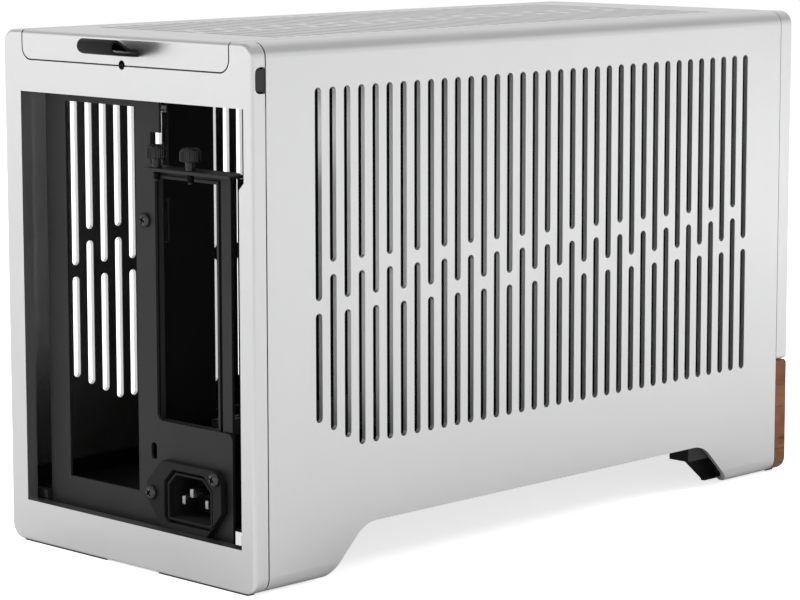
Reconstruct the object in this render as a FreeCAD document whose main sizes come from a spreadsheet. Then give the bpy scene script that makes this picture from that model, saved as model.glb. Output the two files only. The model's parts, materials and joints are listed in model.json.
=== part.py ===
import FreeCAD, Part
import math
import os

import Sketcher

# Compact computer case: slotted aluminium shell round a black steel chassis.
# Millimetres. +Z is up, the front faces -Y, +X is on the right seen from the front.
# The origin is the middle of the whole outline, on the surface that the feet stand on. The lid's
# strap reaches out behind, so the middle of the case itself lies a little in front of the origin.

SIZES = {
    # whole case
    "case_width": 153,
    "case_depth": 343,
    "case_height": 218,
    "frame_shift": 7,
    "skin": 2,
    "steel": 1.2,
    "seam": 0.6,
    "running_gap": 0.3,
    "pin_play": 0.05,
    "top_round": 6,
    "foot_round": 6.4,
    "face_round": 1.6,
    "pad_height": 0.8,
    "pad_gap": 33,
    # rear frame and its window
    "rear_wrap": 7.2,
    "right_jamb": 11.2,
    "left_jamb": 7.5,
    "window_relief": 2.8,
    "relief_drop": 54.2,
    "window_sill": 18.5,
    "head_bar": 25.5,
    "window_return": 5.3,
    # lid
    "flange_width": 13,
    "tongue_length": 11.8,
    "tongue_round": 5,
    "lid_edge_round": 1.8,
    "grip_hole": 3.8,
    "lid_slot_margin": 8.5,
    "lid_bridge_offset": 7.5,
    # slots
    "slot_pitch": 8,
    "slot_pairs": 16,
    "slot_width": 3.6,
    "slot_bridge": 5,
    "slot_drop": 18.8,
    "slot_foot": 53.6,
    "slot_step": 4,
    "low_bridge": 112.1,
    "high_bridge": 127.1,
    # side panels and feet
    "arch_height": 21,
    "rear_foot": 61,
    "front_foot": 63,
    "foot_run": 21,
    "arch_round": 16,
    "toe_round": 5,
    "hinge_pin": 4,
    "knuckle": 10.8,
    "knuckle_length": 12,
    "lug_length": 6,
    "lug_ring": 8,
    "rear_hinge_inset": 13,
    "front_hinge_inset": 15,
    # pull tabs
    "side_tab_height": 8.8,
    "side_tab_reach": 4.3,
    "side_tab_drop": 14.5,
    "side_tab_margin": 0.8,
    "side_tab_recess": 0.5,
    "strap_width": 20.8,
    "strap_reach": 14.6,
    "strap_sheet": 1.1,
    "strap_loop": 6,
    "strap_root": 3.2,
    "strap_foot": 3.6,
    "strap_rise": 1.3,
    # front
    "front_wrap": 8.75,
    "front_seam": 0.3,
    "trim_height": 53.9,
    "trim_gap": 0.5,
    "trim_wall": 5,
    "button_size": 13,
    "button_margin": 20.5,
    "button_height": 30,
    "button_travel": 1.2,
    "button_proud": 0.6,
    "port_pitch": 24,
    "port_gap": 40,
    "port_width": 14.5,
    "port_opening": 7.5,
    "port_depth": 16,
    "board_sheet": 1.6,
    # chassis
    "floor_level": 22,
    "floor_edge": 7.1,
    "rail_width": 16,
    "rail_height": 14,
    "bracket_leg": 2.2,
    "bracket_inset": 13.3,
    "bracket_shelf": 7.8,
    "front_bracket_run": 26,
    "front_bracket_top": 71,
    "stud": 3,
    "stud_length": 5.4,
    "stud_play": 0.4,
    "stud_inset": 30,
    # rear plate
    "plate_recess": 9.5,
    "plate_right_gap": 15.7,
    "plate_left_gap": 22.9,
    "plate_foot": 13,
    "plate_drop": 21,
    "io_width": 44.45,
    "io_drop": 29.25,
    "io_foot": 30,
    "io_side": 3.5,
    "card_side": 8.3,
    "card_foot": 61.3,
    "shelf_drop": 53.7,
    "shelf_reach": 7,
    "shelf_start": 9.3,
    "shelf_margin": 15.5,
    "notch_drop": 39,
    "notch_depth": 2.5,
    "strip_reach": 3.1,
    "plate_round": 3,
    "vent_width": 3.4,
    "vent_length": 7.2,
    "vent_side": 6,
    "vent_middle": 48.2,
    "plate_screw_drop": 75,
    # slot bracket
    "bracket_recess": 3.5,
    "card_margin": 10.8,
    "card_lip": 0.2,
    "card_border": 4,
    "slot_spacing": 20.32,
    "first_slot": 14.2,
    "thumb_line": 3.8,
    "thumb_head": 9.2,
    "thumb_height": 5.6,
    "thumb_neck": 3.7,
    "thumb_shank": 3,
    "thumb_thread": 4,
    # mains inlet
    "inlet_margin": 23.1,
    "inlet_level": 31.9,
    "inlet_proud": 3.5,
    "inlet_width": 46,
    "inlet_height": 28,
    "inlet_corner": 9,
    "socket_width": 25,
    "socket_height": 18,
    "socket_corner": 4.5,
    "socket_depth": 17,
    "inlet_length": 26,
    "inlet_wall": 1.6,
    "blade_width": 2,
    "blade_height": 4,
    "blade_spacing": 14,
    "blade_offset": 2,
    "inlet_screw_left": 22.1,
    "inlet_screw_right": 16.4,
    "inlet_screw_rise": 10.8,
    # screws
    "screw_head": 6,
    "screw_rise": 2.2,
    "screw_shank": 3,
    "screw_length": 5,
    # spine wall and what it carries
    "wall_side": 1,
    "wall_rear": 13,
    "wall_front": 22,
    "wall_drop": 11,
    "wall_border": 24.5,
    "wall_window": 19,
    "wall_window_foot": 60,
    "wall_window_drop": 21,
    "tab_low_drop": 85,
    "tab_mid_drop": 67,
    "tab_high_drop": 55,
    "standoff": 5.5,
    "standoff_height": 6.35,
    "board_hole_depth": 154.94,
    "board_hole_trim": 1.27,
    "board_inset": 16,
    "psu_front": 30,
    "psu_width": 63.5,
    "psu_height": 125,
    "psu_foot": 46,
    "psu_border": 7,
    "riser_level": 44,
    "riser_width": 20,
    "riser_length": 104,
    "riser_start": 20,
    "card_slot_width": 7.5,
    "card_slot_length": 89,
    "card_slot_height": 11,
    "card_slot_gap": 1.8,
    "post_foot": 25.3,
    "post_width": 17.6,
}


class Size:
    """A number together with the sheet formula that gives it."""

    def __init__(self, value, formula):
        self.value = float(value)
        self.formula = formula

    def __add__(self, other):
        return Size(self.value + number(other), f"({self.formula} + {formula(other)})")

    def __radd__(self, other):
        return Size(number(other) + self.value, f"({formula(other)} + {self.formula})")

    def __sub__(self, other):
        return Size(self.value - number(other), f"({self.formula} - {formula(other)})")

    def __rsub__(self, other):
        return Size(number(other) - self.value, f"({formula(other)} - {self.formula})")

    def __mul__(self, other):
        return Size(self.value * number(other), f"({self.formula} * {formula(other)})")

    def __rmul__(self, other):
        return self * other

    def __truediv__(self, other):
        return Size(self.value / number(other), f"({self.formula} / {formula(other)})")

    def __neg__(self):
        return Size(-self.value, f"(-1 * {self.formula})")


def number(size):
    return size.value if isinstance(size, Size) else float(size)


def formula(size):
    return size.formula if isinstance(size, Size) else f"{size:g}"


class Sheet:
    """The size table: one attribute for each named dimension."""

    def __init__(self, document):
        table = document.addObject("Spreadsheet::Sheet", "Dims")
        for row, (name, value) in enumerate(SIZES.items(), start=1):
            table.set(f"A{row}", name)
            table.set(f"B{row}", str(value))
            table.setAlias(f"B{row}", name)
            setattr(self, name, Size(value, f"Dims.{name}"))


doc = FreeCAD.newDocument("itx_case")
D = Sheet(doc)
doc.recompute()
nodes = []

# Planes and edges that several pieces share
HALF = D.case_width / 2
MIDDLE = -D.frame_shift
REAR = MIDDLE + D.case_depth / 2
FRONT = MIDDLE - D.case_depth / 2
TOP = D.case_height
INNER = HALF - D.skin
CHASSIS = INNER - D.running_gap
REAR_SEAM = REAR - D.rear_wrap
FRONT_SEAM = FRONT + D.front_wrap
PANEL_REAR = REAR_SEAM - D.seam
PANEL_FRONT = FRONT_SEAM + D.front_seam
LID_HALF = HALF - D.flange_width
FLANGE_EDGE = LID_HALF + D.seam
TONGUE_FOOT = TOP - D.tongue_length
HINGE_X = HALF - D.foot_round
HINGE_Z = D.pad_height + D.foot_round
PLATE_FACE = REAR - D.plate_recess
PLATE_BACK = PLATE_FACE - D.steel
RAIL_TOP = TOP - D.skin - D.running_gap
FIRST_COLUMN = MIDDLE + D.slot_pitch * (D.slot_pairs + 1)
FLOOR_TOP = D.floor_level + D.steel
STUD_Z = RAIL_TOP - D.rail_height / 2
BULKHEAD = FRONT_SEAM + D.steel
WINDOW_RIGHT = HALF - D.right_jamb
WINDOW_LEFT = HALF - D.left_jamb
WINDOW_HEAD = TOP - D.head_bar
RELIEF_FOOT = TOP - D.relief_drop
SLOT_TOP = TOP - D.slot_drop
TAB_MIDDLE = TOP - D.side_tab_drop
BUTTON_X = HALF - D.button_margin
PLATE_RIGHT = HALF - D.plate_right_gap
PLATE_LEFT = HALF - D.plate_left_gap
PLATE_HEAD = TOP - D.plate_drop
PLATE_SCREW_Z = TOP - D.plate_screw_drop
IO_HEAD = TOP - D.io_drop
NOTCH_HEAD = TOP - D.notch_drop
SHELF = TOP - D.shelf_drop
SHELF_END = HALF - D.shelf_margin
INLET_X = PLATE_LEFT - D.inlet_margin
WALL_HEAD = TOP - D.wall_drop
WALL_WINDOW_HEAD = TOP - D.wall_window_drop
TAB_LOW = TOP - D.tab_low_drop
TAB_MID = TOP - D.tab_mid_drop
TAB_HIGH = TOP - D.tab_high_drop


def vector(x, y, z=0.0):
    return FreeCAD.Vector(x, y, z)


def node(piece, label):
    """Registers a finished piece under the name of its file."""
    piece.Label = label
    nodes.append(piece)
    return piece


def block(name, x, y, z):
    """Box between a low and a high limit along each axis."""
    box = doc.addObject("Part::Box", name)
    for prop, axis, (low, high) in (("Length", "x", x), ("Width", "y", y), ("Height", "z", z)):
        box.setExpression(prop, formula(high - low))
        box.setExpression("Placement.Base." + axis, formula(low))
    return box


TURNS = {
    "x": FreeCAD.Rotation(vector(0, 1, 0), 90),
    "y": FreeCAD.Rotation(vector(1, 0, 0), -90),
    "z": FreeCAD.Rotation(),
}


def set_on(piece, axis, start):
    """Turns a round piece onto an axis and puts its first face at the start point."""
    piece.Placement = FreeCAD.Placement(vector(0, 0), TURNS[axis])
    for letter, size in zip("xyz", start):
        piece.setExpression("Placement.Base." + letter, formula(size))


def rod(name, axis, start, radius, length):
    """Cylinder that runs from the start point along an axis."""
    cylinder = doc.addObject("Part::Cylinder", name)
    cylinder.setExpression("Radius", formula(radius))
    cylinder.setExpression("Height", formula(length))
    set_on(cylinder, axis, start)
    return cylinder


def taper(name, axis, start, radii, length):
    """Cone frustum that runs from the start point along an axis."""
    cone = doc.addObject("Part::Cone", name)
    cone.setExpression("Radius1", formula(radii[0]))
    cone.setExpression("Radius2", formula(radii[1]))
    cone.setExpression("Height", formula(length))
    set_on(cone, axis, start)
    return cone


def fuse(name, pieces):
    joined = doc.addObject("Part::MultiFuse", name)
    joined.Shapes = pieces
    return joined


def cut(name, base, tools):
    result = doc.addObject("Part::Cut", name)
    result.Base = base
    result.Tool = tools[0] if len(tools) == 1 else fuse(name + "_tools", tools)
    return result


def group(name, pieces):
    """Separate solids that share one node."""
    bundle = doc.addObject("Part::Compound", name)
    bundle.Links = pieces
    return bundle


def new_body(name):
    return doc.addObject("PartDesign::Body", name)


def sketch(body, name, plane, offset):
    """Sketch on one of the body's origin planes, moved to a place along the axis across it."""
    drawing = body.newObject("Sketcher::SketchObject", name)
    support = next(item for item in body.Origin.OriginFeatures if item.Role == plane + "_Plane")
    drawing.AttachmentSupport = [(support, "")]
    drawing.MapMode = "FlatFace"
    along_normal = -offset if plane == "XZ" else offset
    drawing.setExpression("AttachmentOffset.Base.z", formula(along_normal))
    return drawing


def fix(drawing, kind, geometry, point, size):
    """One sketch dimension that follows the size table."""
    index = drawing.addConstraint(Sketcher.Constraint(kind, geometry, point, number(size)))
    drawing.setExpression(f"Constraints[{index}]", formula(size))


def fix_radius(drawing, geometry, size):
    index = drawing.addConstraint(Sketcher.Constraint("Radius", geometry, number(size)))
    drawing.setExpression(f"Constraints[{index}]", formula(size))


def turn_left(before, corner, after):
    first = corner - before
    second = after - corner
    return first.x * second.y - first.y * second.x


def counter_clockwise(corners):
    spots = [(number(corner[0]), number(corner[1])) for corner in corners]
    pairs = zip(spots, spots[1:] + spots[:1])
    area = sum(a[0] * b[1] - b[0] * a[1] for a, b in pairs)
    return corners if area > 0 else corners[::-1]


def outline(drawing, corners):
    """Closed outline. A corner is (x, y) or, where it is rounded, (x, y, radius)."""
    corners = counter_clockwise(corners)
    count = len(corners)
    spots = [vector(number(c[0]), number(c[1])) for c in corners]
    reach = []
    for i, corner in enumerate(corners):
        back = (spots[i - 1] - spots[i]).normalize()
        ahead = (spots[(i + 1) % count] - spots[i]).normalize()
        half_angle = back.getAngle(ahead) / 2
        radius = number(corner[2]) if len(corner) > 2 else 0.0
        reach.append((back, ahead, radius / math.tan(half_angle), radius))
    lines = []
    for i in range(count):
        start = spots[i] + reach[i][1] * reach[i][2]
        end = spots[(i + 1) % count] + reach[(i + 1) % count][0] * reach[(i + 1) % count][2]
        lines.append(drawing.addGeometry(Part.LineSegment(start, end), False))
    for i, corner in enumerate(corners):
        coming, leaving = lines[i - 1], lines[i]
        if len(corner) == 2:
            drawing.addConstraint(Sketcher.Constraint("Coincident", coming, 2, leaving, 1))
            fix(drawing, "DistanceX", leaving, 1, corner[0])
            fix(drawing, "DistanceY", leaving, 1, corner[1])
            continue
        back, ahead, length, radius = reach[i]
        convex = turn_left(spots[i - 1], spots[i], spots[(i + 1) % count]) > 0
        middle = spots[i] + (back + ahead).normalize() * math.hypot(radius, length)
        first = spots[i] + back * length - middle
        last = spots[i] + ahead * length - middle
        angles = (math.atan2(first.y, first.x), math.atan2(last.y, last.x))
        if not convex:
            angles = angles[::-1]
        start, stop = angles[0], angles[1]
        if stop < start:
            stop += 2 * math.pi
        circle = Part.Circle(middle, vector(0, 0, 1), radius)
        arc = drawing.addGeometry(Part.ArcOfCircle(circle, start, stop), False)
        entry, leave = (1, 2) if convex else (2, 1)
        drawing.addConstraint(Sketcher.Constraint("Tangent", coming, 2, arc, entry))
        drawing.addConstraint(Sketcher.Constraint("Tangent", arc, leave, leaving, 1))
        fix_radius(drawing, arc, corner[2])
        apex = drawing.addGeometry(Part.Point(spots[i]), True)
        drawing.addConstraint(Sketcher.Constraint("PointOnObject", apex, 1, coming))
        drawing.addConstraint(Sketcher.Constraint("PointOnObject", apex, 1, leaving))
        fix(drawing, "DistanceX", apex, 1, corner[0])
        fix(drawing, "DistanceY", apex, 1, corner[1])


def rectangle(x, y, radius=None):
    """Corners of a rectangle between two limits along each axis."""
    spots = [(x[0], y[0]), (x[1], y[0]), (x[1], y[1]), (x[0], y[1])]
    return spots if radius is None else [spot + (radius,) for spot in spots]


def disc(drawing, x, y, radius):
    circle = Part.Circle(vector(number(x), number(y)), vector(0, 0, 1), number(radius))
    index = drawing.addGeometry(circle, False)
    fix_radius(drawing, index, radius)
    fix(drawing, "DistanceX", index, 3, x)
    fix(drawing, "DistanceY", index, 3, y)


def slot(drawing, first, last, width):
    """Round-ended slot between the two outermost points on its middle line."""
    radius = width / 2
    along_x = abs(number(last[0]) - number(first[0])) > abs(number(last[1]) - number(first[1]))
    if along_x:
        centres = [(last[0] - radius, last[1]), (first[0] + radius, first[1])]
        tilt = -math.pi / 2
    else:
        centres = [(last[0], last[1] - radius), (first[0], first[1] + radius)]
        tilt = 0.0
    arcs = []
    for (x, y), begin in zip(centres, (tilt, tilt + math.pi)):
        circle = Part.Circle(vector(number(x), number(y)), vector(0, 0, 1), number(radius))
        arcs.append(drawing.addGeometry(Part.ArcOfCircle(circle, begin, begin + math.pi), False))
    ends = []
    for (x, y), begin in zip(centres, (tilt, tilt + math.pi)):
        for angle in (begin, begin + math.pi):
            swing = vector(math.cos(angle), math.sin(angle)) * number(radius)
            ends.append(vector(number(x), number(y)) + swing)
    far_side = drawing.addGeometry(Part.LineSegment(ends[1], ends[2]), False)
    near_side = drawing.addGeometry(Part.LineSegment(ends[3], ends[0]), False)
    for a, a_end, b, b_end in (
        (arcs[0], 2, far_side, 1),
        (far_side, 2, arcs[1], 1),
        (arcs[1], 2, near_side, 1),
        (near_side, 2, arcs[0], 1),
    ):
        drawing.addConstraint(Sketcher.Constraint("Tangent", a, a_end, b, b_end))
    drawing.addConstraint(Sketcher.Constraint("Equal", arcs[0], arcs[1]))
    fix_radius(drawing, arcs[0], radius)
    for arc, (x, y) in zip(arcs, centres):
        fix(drawing, "DistanceX", arc, 3, x)
        fix(drawing, "DistanceY", arc, 3, y)


def pad(body, name, drawing, length, flip=False):
    feature = body.newObject("PartDesign::Pad", name)
    feature.Profile = drawing
    feature.setExpression("Length", formula(length))
    feature.Reversed = flip
    return feature


def pocket(body, name, drawing, depth=None, flip=False):
    """Cut against the sketch's normal, to a depth or right through."""
    feature = body.newObject("PartDesign::Pocket", name)
    feature.Profile = drawing
    if depth is None:
        feature.Type = "ThroughAll"
    else:
        feature.setExpression("Length", formula(depth))
    feature.Reversed = flip
    return feature


def repeat(body, name, feature, axis, spacing, copies, flip):
    """Evenly spaced copies of a feature along one of the body's axes."""
    pattern = body.newObject("PartDesign::LinearPattern", name)
    pattern.Originals = [feature]
    line = next(item for item in body.Origin.OriginFeatures if item.Role == axis + "_Axis")
    pattern.Direction = (line, [""])
    pattern.Reversed = flip
    pattern.setExpression("Length", formula(spacing * (copies - 1)))
    pattern.setExpression("Occurrences", formula(copies))
    body.Tip = pattern
    return pattern


def round_edges(body, name, base, radius, wanted):
    """Fillet on the edges whose midpoint and direction the test accepts."""
    doc.recompute()
    names = []
    for index, edge in enumerate(base.Shape.Edges, start=1):
        middle = edge.valueAt((edge.FirstParameter + edge.LastParameter) / 2)
        if wanted(edge, middle):
            names.append(f"Edge{index}")
    fillet = body.newObject("PartDesign::Fillet", name)
    fillet.Base = (base, names)
    fillet.setExpression("Radius", formula(radius))
    return fillet


def lies_at(axis, place):
    """Test for edges that lie wholly on one plane across an axis."""
    level = number(place)

    def test(edge, middle):
        spots = [getattr(vertex.Point, axis) for vertex in edge.Vertexes]
        spots.append(getattr(middle, axis))
        return max(abs(spot - level) for spot in spots) < 1e-4

    return test


def shell_outline(x_half, foot, head, foot_round, head_round):
    """Upright rectangle with its own rounding at the foot and at the head."""
    return [
        (-x_half, foot, foot_round),
        (x_half, foot, foot_round),
        (x_half, head, head_round),
        (-x_half, head, head_round),
    ]


def window_outline(margin):
    """The rear window with its stepped left jamb, widened all round by a margin."""
    left = -WINDOW_LEFT - margin
    relieved = left - D.window_relief
    step = RELIEF_FOOT - margin
    return [
        (WINDOW_RIGHT + margin, D.window_sill - margin),
        (WINDOW_RIGHT + margin, WINDOW_HEAD + margin),
        (relieved, WINDOW_HEAD + margin),
        (relieved, step),
        (left, step - D.window_relief),
        (left, D.window_sill - margin),
    ]


def tongue_outline(margin):
    """The lid's tongue seen from behind, widened by a margin and open above the lid."""
    edge = LID_HALF + margin
    foot = TONGUE_FOOT - margin
    above = TOP + D.skin
    rounding = D.tongue_round + margin
    return [(-edge, foot, rounding), (edge, foot, rounding), (edge, above), (-edge, above)]


def build_rear_frame():
    body = new_body("RearFrame")
    ring = sketch(body, "rear_outline", "XZ", REAR)
    outline(ring, shell_outline(HALF, D.pad_height, TOP, D.foot_round, D.top_round))
    solid = pad(body, "rear_block", ring, D.rear_wrap)
    solid = round_edges(body, "rear_edge", solid, D.face_round, lies_at("y", REAR))
    hollow = sketch(body, "rear_hollow", "XZ", REAR_SEAM)
    hollow_head = TONGUE_FOOT - D.seam - D.skin
    hollow_round = D.foot_round - D.skin
    outline(hollow, shell_outline(INNER, D.pad_height + D.skin, hollow_head, hollow_round, hollow_round))
    outline(hollow, window_outline(D.skin))
    pocket(body, "rear_hollow_cut", hollow, D.rear_wrap - D.skin)
    opening = sketch(body, "window", "XZ", REAR_SEAM)
    outline(opening, window_outline(0))
    pocket(body, "window_cut", opening)
    jamb = sketch(body, "jamb_trim", "XZ", REAR_SEAM)
    outline(jamb, window_outline(D.skin + D.face_round))
    pocket(body, "jamb_trim_cut", jamb, D.rear_wrap - D.window_return)
    recess = sketch(body, "tongue_recess", "XZ", REAR)
    outline(recess, tongue_outline(D.seam))
    pocket(body, "tongue_recess_cut", recess, D.skin + D.running_gap, flip=True)
    passage = sketch(body, "lid_passage", "XZ", REAR_SEAM)
    passage_foot = TOP - D.skin - D.running_gap
    outline(passage, rectangle((-FLANGE_EDGE, FLANGE_EDGE), (passage_foot, TOP + D.skin)))
    pocket(body, "lid_passage_cut", passage)
    grip = sketch(body, "grip_hole", "XZ", REAR)
    disc(grip, 0 * REAR, TONGUE_FOOT, D.grip_hole / 2)
    pocket(body, "grip_hole_cut", grip, D.rear_wrap - D.skin, flip=True)
    notch_depth = D.skin + D.side_tab_margin
    for side, name in ((-1, "left_tab_notch"), (1, "right_tab_notch")):
        notch = sketch(body, name, "YZ", side * HALF)
        outline(notch, side_tab_outline(D.side_tab_margin, REAR_SEAM - D.skin))
        pocket(body, name + "_cut", notch, notch_depth, flip=side < 0)
    return node(body, "rear_frame")


def side_tab_outline(margin, start):
    """A side tab in its panel's plane, widened by a margin, with its rear corners rounded."""
    half_height = D.side_tab_height / 2 + margin
    low = TAB_MIDDLE - half_height
    high = TAB_MIDDLE + half_height
    end = REAR_SEAM + D.side_tab_reach + margin
    rounding = D.face_round + margin
    return [(start, low), (end, low, rounding), (end, high, rounding), (start, high)]


def build_top_lid():
    body = new_body("TopLid")
    section = sketch(body, "lid_section", "YZ", -LID_HALF)
    under = TOP - D.skin
    outline(
        section,
        [
            (PANEL_FRONT, under),
            (REAR - D.skin, under),
            (REAR - D.skin, TONGUE_FOOT),
            (REAR, TONGUE_FOOT),
            (REAR, TOP, D.lid_edge_round),
            (PANEL_FRONT, TOP),
        ],
    )
    solid = pad(body, "lid_sheet", section, LID_HALF * 2)

    def tongue_corner(edge, middle):
        across = abs(edge.Vertexes[0].Point.y - edge.Vertexes[-1].Point.y)
        at_foot = abs(middle.z - number(TONGUE_FOOT)) < 1e-4
        return at_foot and abs(across - number(D.skin)) < 1e-4

    round_edges(body, "tongue_corners", solid, D.tongue_round, tongue_corner)
    half_bridge = D.slot_bridge / 2
    half_length = LID_HALF - D.lid_slot_margin
    rows = ((FIRST_COLUMN, -D.lid_bridge_offset, 2), (FIRST_COLUMN - D.slot_pitch, D.lid_bridge_offset, 1))
    for start, bridge, extra in rows:
        pair = sketch(body, f"lid_slots_{extra}", "XY", TOP + D.skin)
        slot(pair, (-half_length, start), (bridge - half_bridge, start), D.slot_width)
        slot(pair, (bridge + half_bridge, start), (half_length, start), D.slot_width)
        first = pocket(body, f"lid_slots_cut_{extra}", pair)
        copies = D.slot_pairs + extra
        repeat(body, f"lid_slots_row_{extra}", first, "Y", D.slot_pitch * 2, copies, flip=True)
    grip = sketch(body, "tongue_grip", "XZ", REAR)
    disc(grip, 0 * REAR, TONGUE_FOOT, D.grip_hole / 2)
    pocket(body, "tongue_grip_cut", grip, D.skin, flip=True)
    return node(body, "top_lid")


def arch_outline():
    """Space under a side panel between its two feet, in the panel's own plane."""
    ground = D.pad_height - D.running_gap
    below = ground - D.arch_height
    rear_top = REAR - D.rear_foot
    front_top = FRONT + D.front_foot
    rear_toe = rear_top + D.foot_run
    front_toe = front_top - D.foot_run
    return [
        (REAR + D.foot_run, below),
        (REAR + D.foot_run, ground),
        (rear_toe, ground, D.toe_round),
        (rear_top, D.arch_height, D.arch_round),
        (front_top, D.arch_height, D.arch_round),
        (front_toe, ground, D.toe_round),
        (FRONT - D.foot_run, ground),
        (FRONT - D.foot_run, below),
    ]


def slot_column(drawing, place, bridge, foot):
    """Upper and lower slot of one column of a side panel."""
    half_bridge = D.slot_bridge / 2
    slot(drawing, (place, foot), (place, bridge - half_bridge), D.slot_width)
    slot(drawing, (place, bridge + half_bridge), (place, SLOT_TOP), D.slot_width)


def knuckle_places():
    """Start of the rear and of the front hinge knuckle, along the case."""
    rear = PANEL_REAR - D.rear_hinge_inset - D.knuckle_length
    front = PANEL_FRONT + D.front_hinge_inset
    return rear, front


def build_side_panel(label, side):
    """Folded panel: top flange, slotted wall and a rolled foot that turns on its hinge pins."""
    body = new_body(label)
    wall = side * HALF
    inside = side * INNER
    rolled = side * HINGE_X
    hem = side * (HINGE_X - D.seam)
    section = sketch(body, label + "_section", "XZ", PANEL_REAR)
    outline(
        section,
        [
            (side * FLANGE_EDGE, TOP),
            (wall, TOP, D.top_round),
            (wall, D.pad_height, D.foot_round),
            (hem, D.pad_height),
            (hem, D.pad_height + D.skin),
            (inside, D.pad_height + D.skin, D.foot_round - D.skin),
            (inside, TOP - D.skin, D.top_round - D.skin),
            (side * FLANGE_EDGE, TOP - D.skin),
        ],
    )
    pad(body, label + "_sheet", section, PANEL_REAR - PANEL_FRONT)
    outward = side > 0
    for index, place in enumerate(knuckle_places()):
        ring = sketch(body, f"{label}_knuckle_{index}", "XZ", place + D.knuckle_length)
        disc(ring, rolled, HINGE_Z, D.knuckle / 2)
        pad(body, f"{label}_knuckle_pad_{index}", ring, D.knuckle_length)
    bore = sketch(body, label + "_bore", "XZ", REAR)
    disc(bore, rolled, HINGE_Z, D.hinge_pin / 2 + D.pin_play)
    pocket(body, label + "_bore_cut", bore, flip=True)
    arch = sketch(body, label + "_arch", "YZ", 0 * HALF)
    outline(arch, arch_outline())
    pocket(body, label + "_arch_cut", arch, flip=outward)
    bridges = (D.low_bridge, D.high_bridge)
    for column in range(3):
        lone = sketch(body, f"{label}_column_{column}", "YZ", 0 * HALF)
        place = FIRST_COLUMN - D.slot_pitch * column
        slot_column(lone, place, bridges[column % 2], D.slot_foot + D.slot_step * (3 - column))
        pocket(body, f"{label}_column_cut_{column}", lone, flip=outward)
    for column in (3, 4):
        lead = sketch(body, f"{label}_column_{column}", "YZ", 0 * HALF)
        place = FIRST_COLUMN - D.slot_pitch * column
        slot_column(lead, place, bridges[column % 2], D.slot_foot)
        first = pocket(body, f"{label}_column_cut_{column}", lead, flip=outward)
        repeat(body, f"{label}_row_{column}", first, "Y", D.slot_pitch * 2, D.slot_pairs, flip=True)
    return node(body, label)


def build_side_tab(label, side):
    """Tab that reaches from a panel's rear edge into the notch of the rear frame."""
    body = new_body(label)
    outer = HALF - D.side_tab_recess
    face = sketch(body, label + "_face", "YZ", -outer if side < 0 else INNER)
    outline(face, side_tab_outline(0, PANEL_REAR))
    pad(body, label + "_pad", face, outer - INNER)
    return node(body, label)


def build_lid_strap():
    """Soft strap doubled into a loop behind the lid's tongue."""
    body = new_body("LidStrap")
    section = sketch(body, "strap_section", "YZ", -D.strap_width / 2)
    foot = TONGUE_FOOT + D.strap_foot
    neck = foot + D.strap_root
    tip = REAR + D.strap_reach
    low = foot + D.strap_rise
    high = low + D.strap_loop
    bend = D.strap_loop / 2 - D.strap_sheet / 4
    shoulder = REAR + D.strap_reach - D.strap_loop * 0.7
    outline(
        section,
        [
            (REAR, foot),
            (tip, low, bend),
            (tip, high, bend),
            (shoulder, high, D.strap_sheet),
            (REAR + D.strap_root * 0.8, neck, D.strap_sheet),
            (REAR, neck),
        ],
    )
    sheet = D.strap_sheet
    outline(
        section,
        [
            (REAR + D.strap_root, foot + D.strap_root / 2),
            (tip - sheet, low + sheet, bend - sheet),
            (tip - sheet, high - sheet, bend - sheet),
            (shoulder + sheet / 2, high - sheet),
        ],
    )
    pad(body, "strap_pad", section, D.strap_width)
    return node(body, "lid_pull_tab")


def build_front_panel():
    body = new_body("FrontPanel")
    foot = D.trim_height + D.trim_gap
    face = sketch(body, "front_outline", "XZ", FRONT_SEAM)
    outline(face, shell_outline(HALF, foot, TOP, D.face_round, D.top_round))
    solid = pad(body, "front_block", face, D.front_wrap)
    solid = round_edges(body, "front_edge", solid, D.face_round, lies_at("y", FRONT))
    hollow = sketch(body, "front_hollow", "XZ", FRONT_SEAM)
    hollow_round = D.top_round - D.skin
    outline(hollow, shell_outline(INNER, foot + D.skin, TOP - D.skin, D.face_round, hollow_round))
    pocket(body, "front_hollow_cut", hollow, D.front_wrap - D.skin, flip=True)
    return node(body, "front_panel")


def port_places():
    return [BUTTON_X - D.port_gap + D.port_pitch * step for step in (-2, -1, 0)]


def build_walnut_trim():
    """Wooden strip with openings for the button and the sockets, hollowed behind."""
    body = new_body("WalnutTrim")
    face = sketch(body, "trim_outline", "XZ", FRONT_SEAM)
    outline(face, shell_outline(HALF, D.pad_height, D.trim_height, D.foot_round, D.face_round))
    solid = pad(body, "trim_block", face, D.front_wrap)
    solid = round_edges(body, "trim_edge", solid, D.face_round, lies_at("y", FRONT))
    hollow = sketch(body, "trim_hollow", "XZ", FRONT_SEAM)
    margin = D.foot_round + D.skin
    limits = (D.pad_height + D.foot_round, D.trim_height - D.foot_round)
    outline(hollow, rectangle((margin - HALF, HALF - margin), limits, D.foot_round))
    pocket(body, "trim_hollow_cut", hollow, D.front_wrap - D.trim_wall, flip=True)
    holes = sketch(body, "trim_holes", "XZ", FRONT_SEAM)
    disc(holes, BUTTON_X, D.button_height, D.button_size / 2 + D.running_gap)
    half_height = D.port_opening / 2
    for place in port_places():
        across = (place - D.port_width / 2, place + D.port_width / 2)
        up = (D.button_height - half_height, D.button_height + half_height)
        outline(holes, rectangle(across, up, D.running_gap))
    pocket(body, "trim_holes_cut", holes, flip=True)
    return node(body, "walnut_trim")


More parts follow.
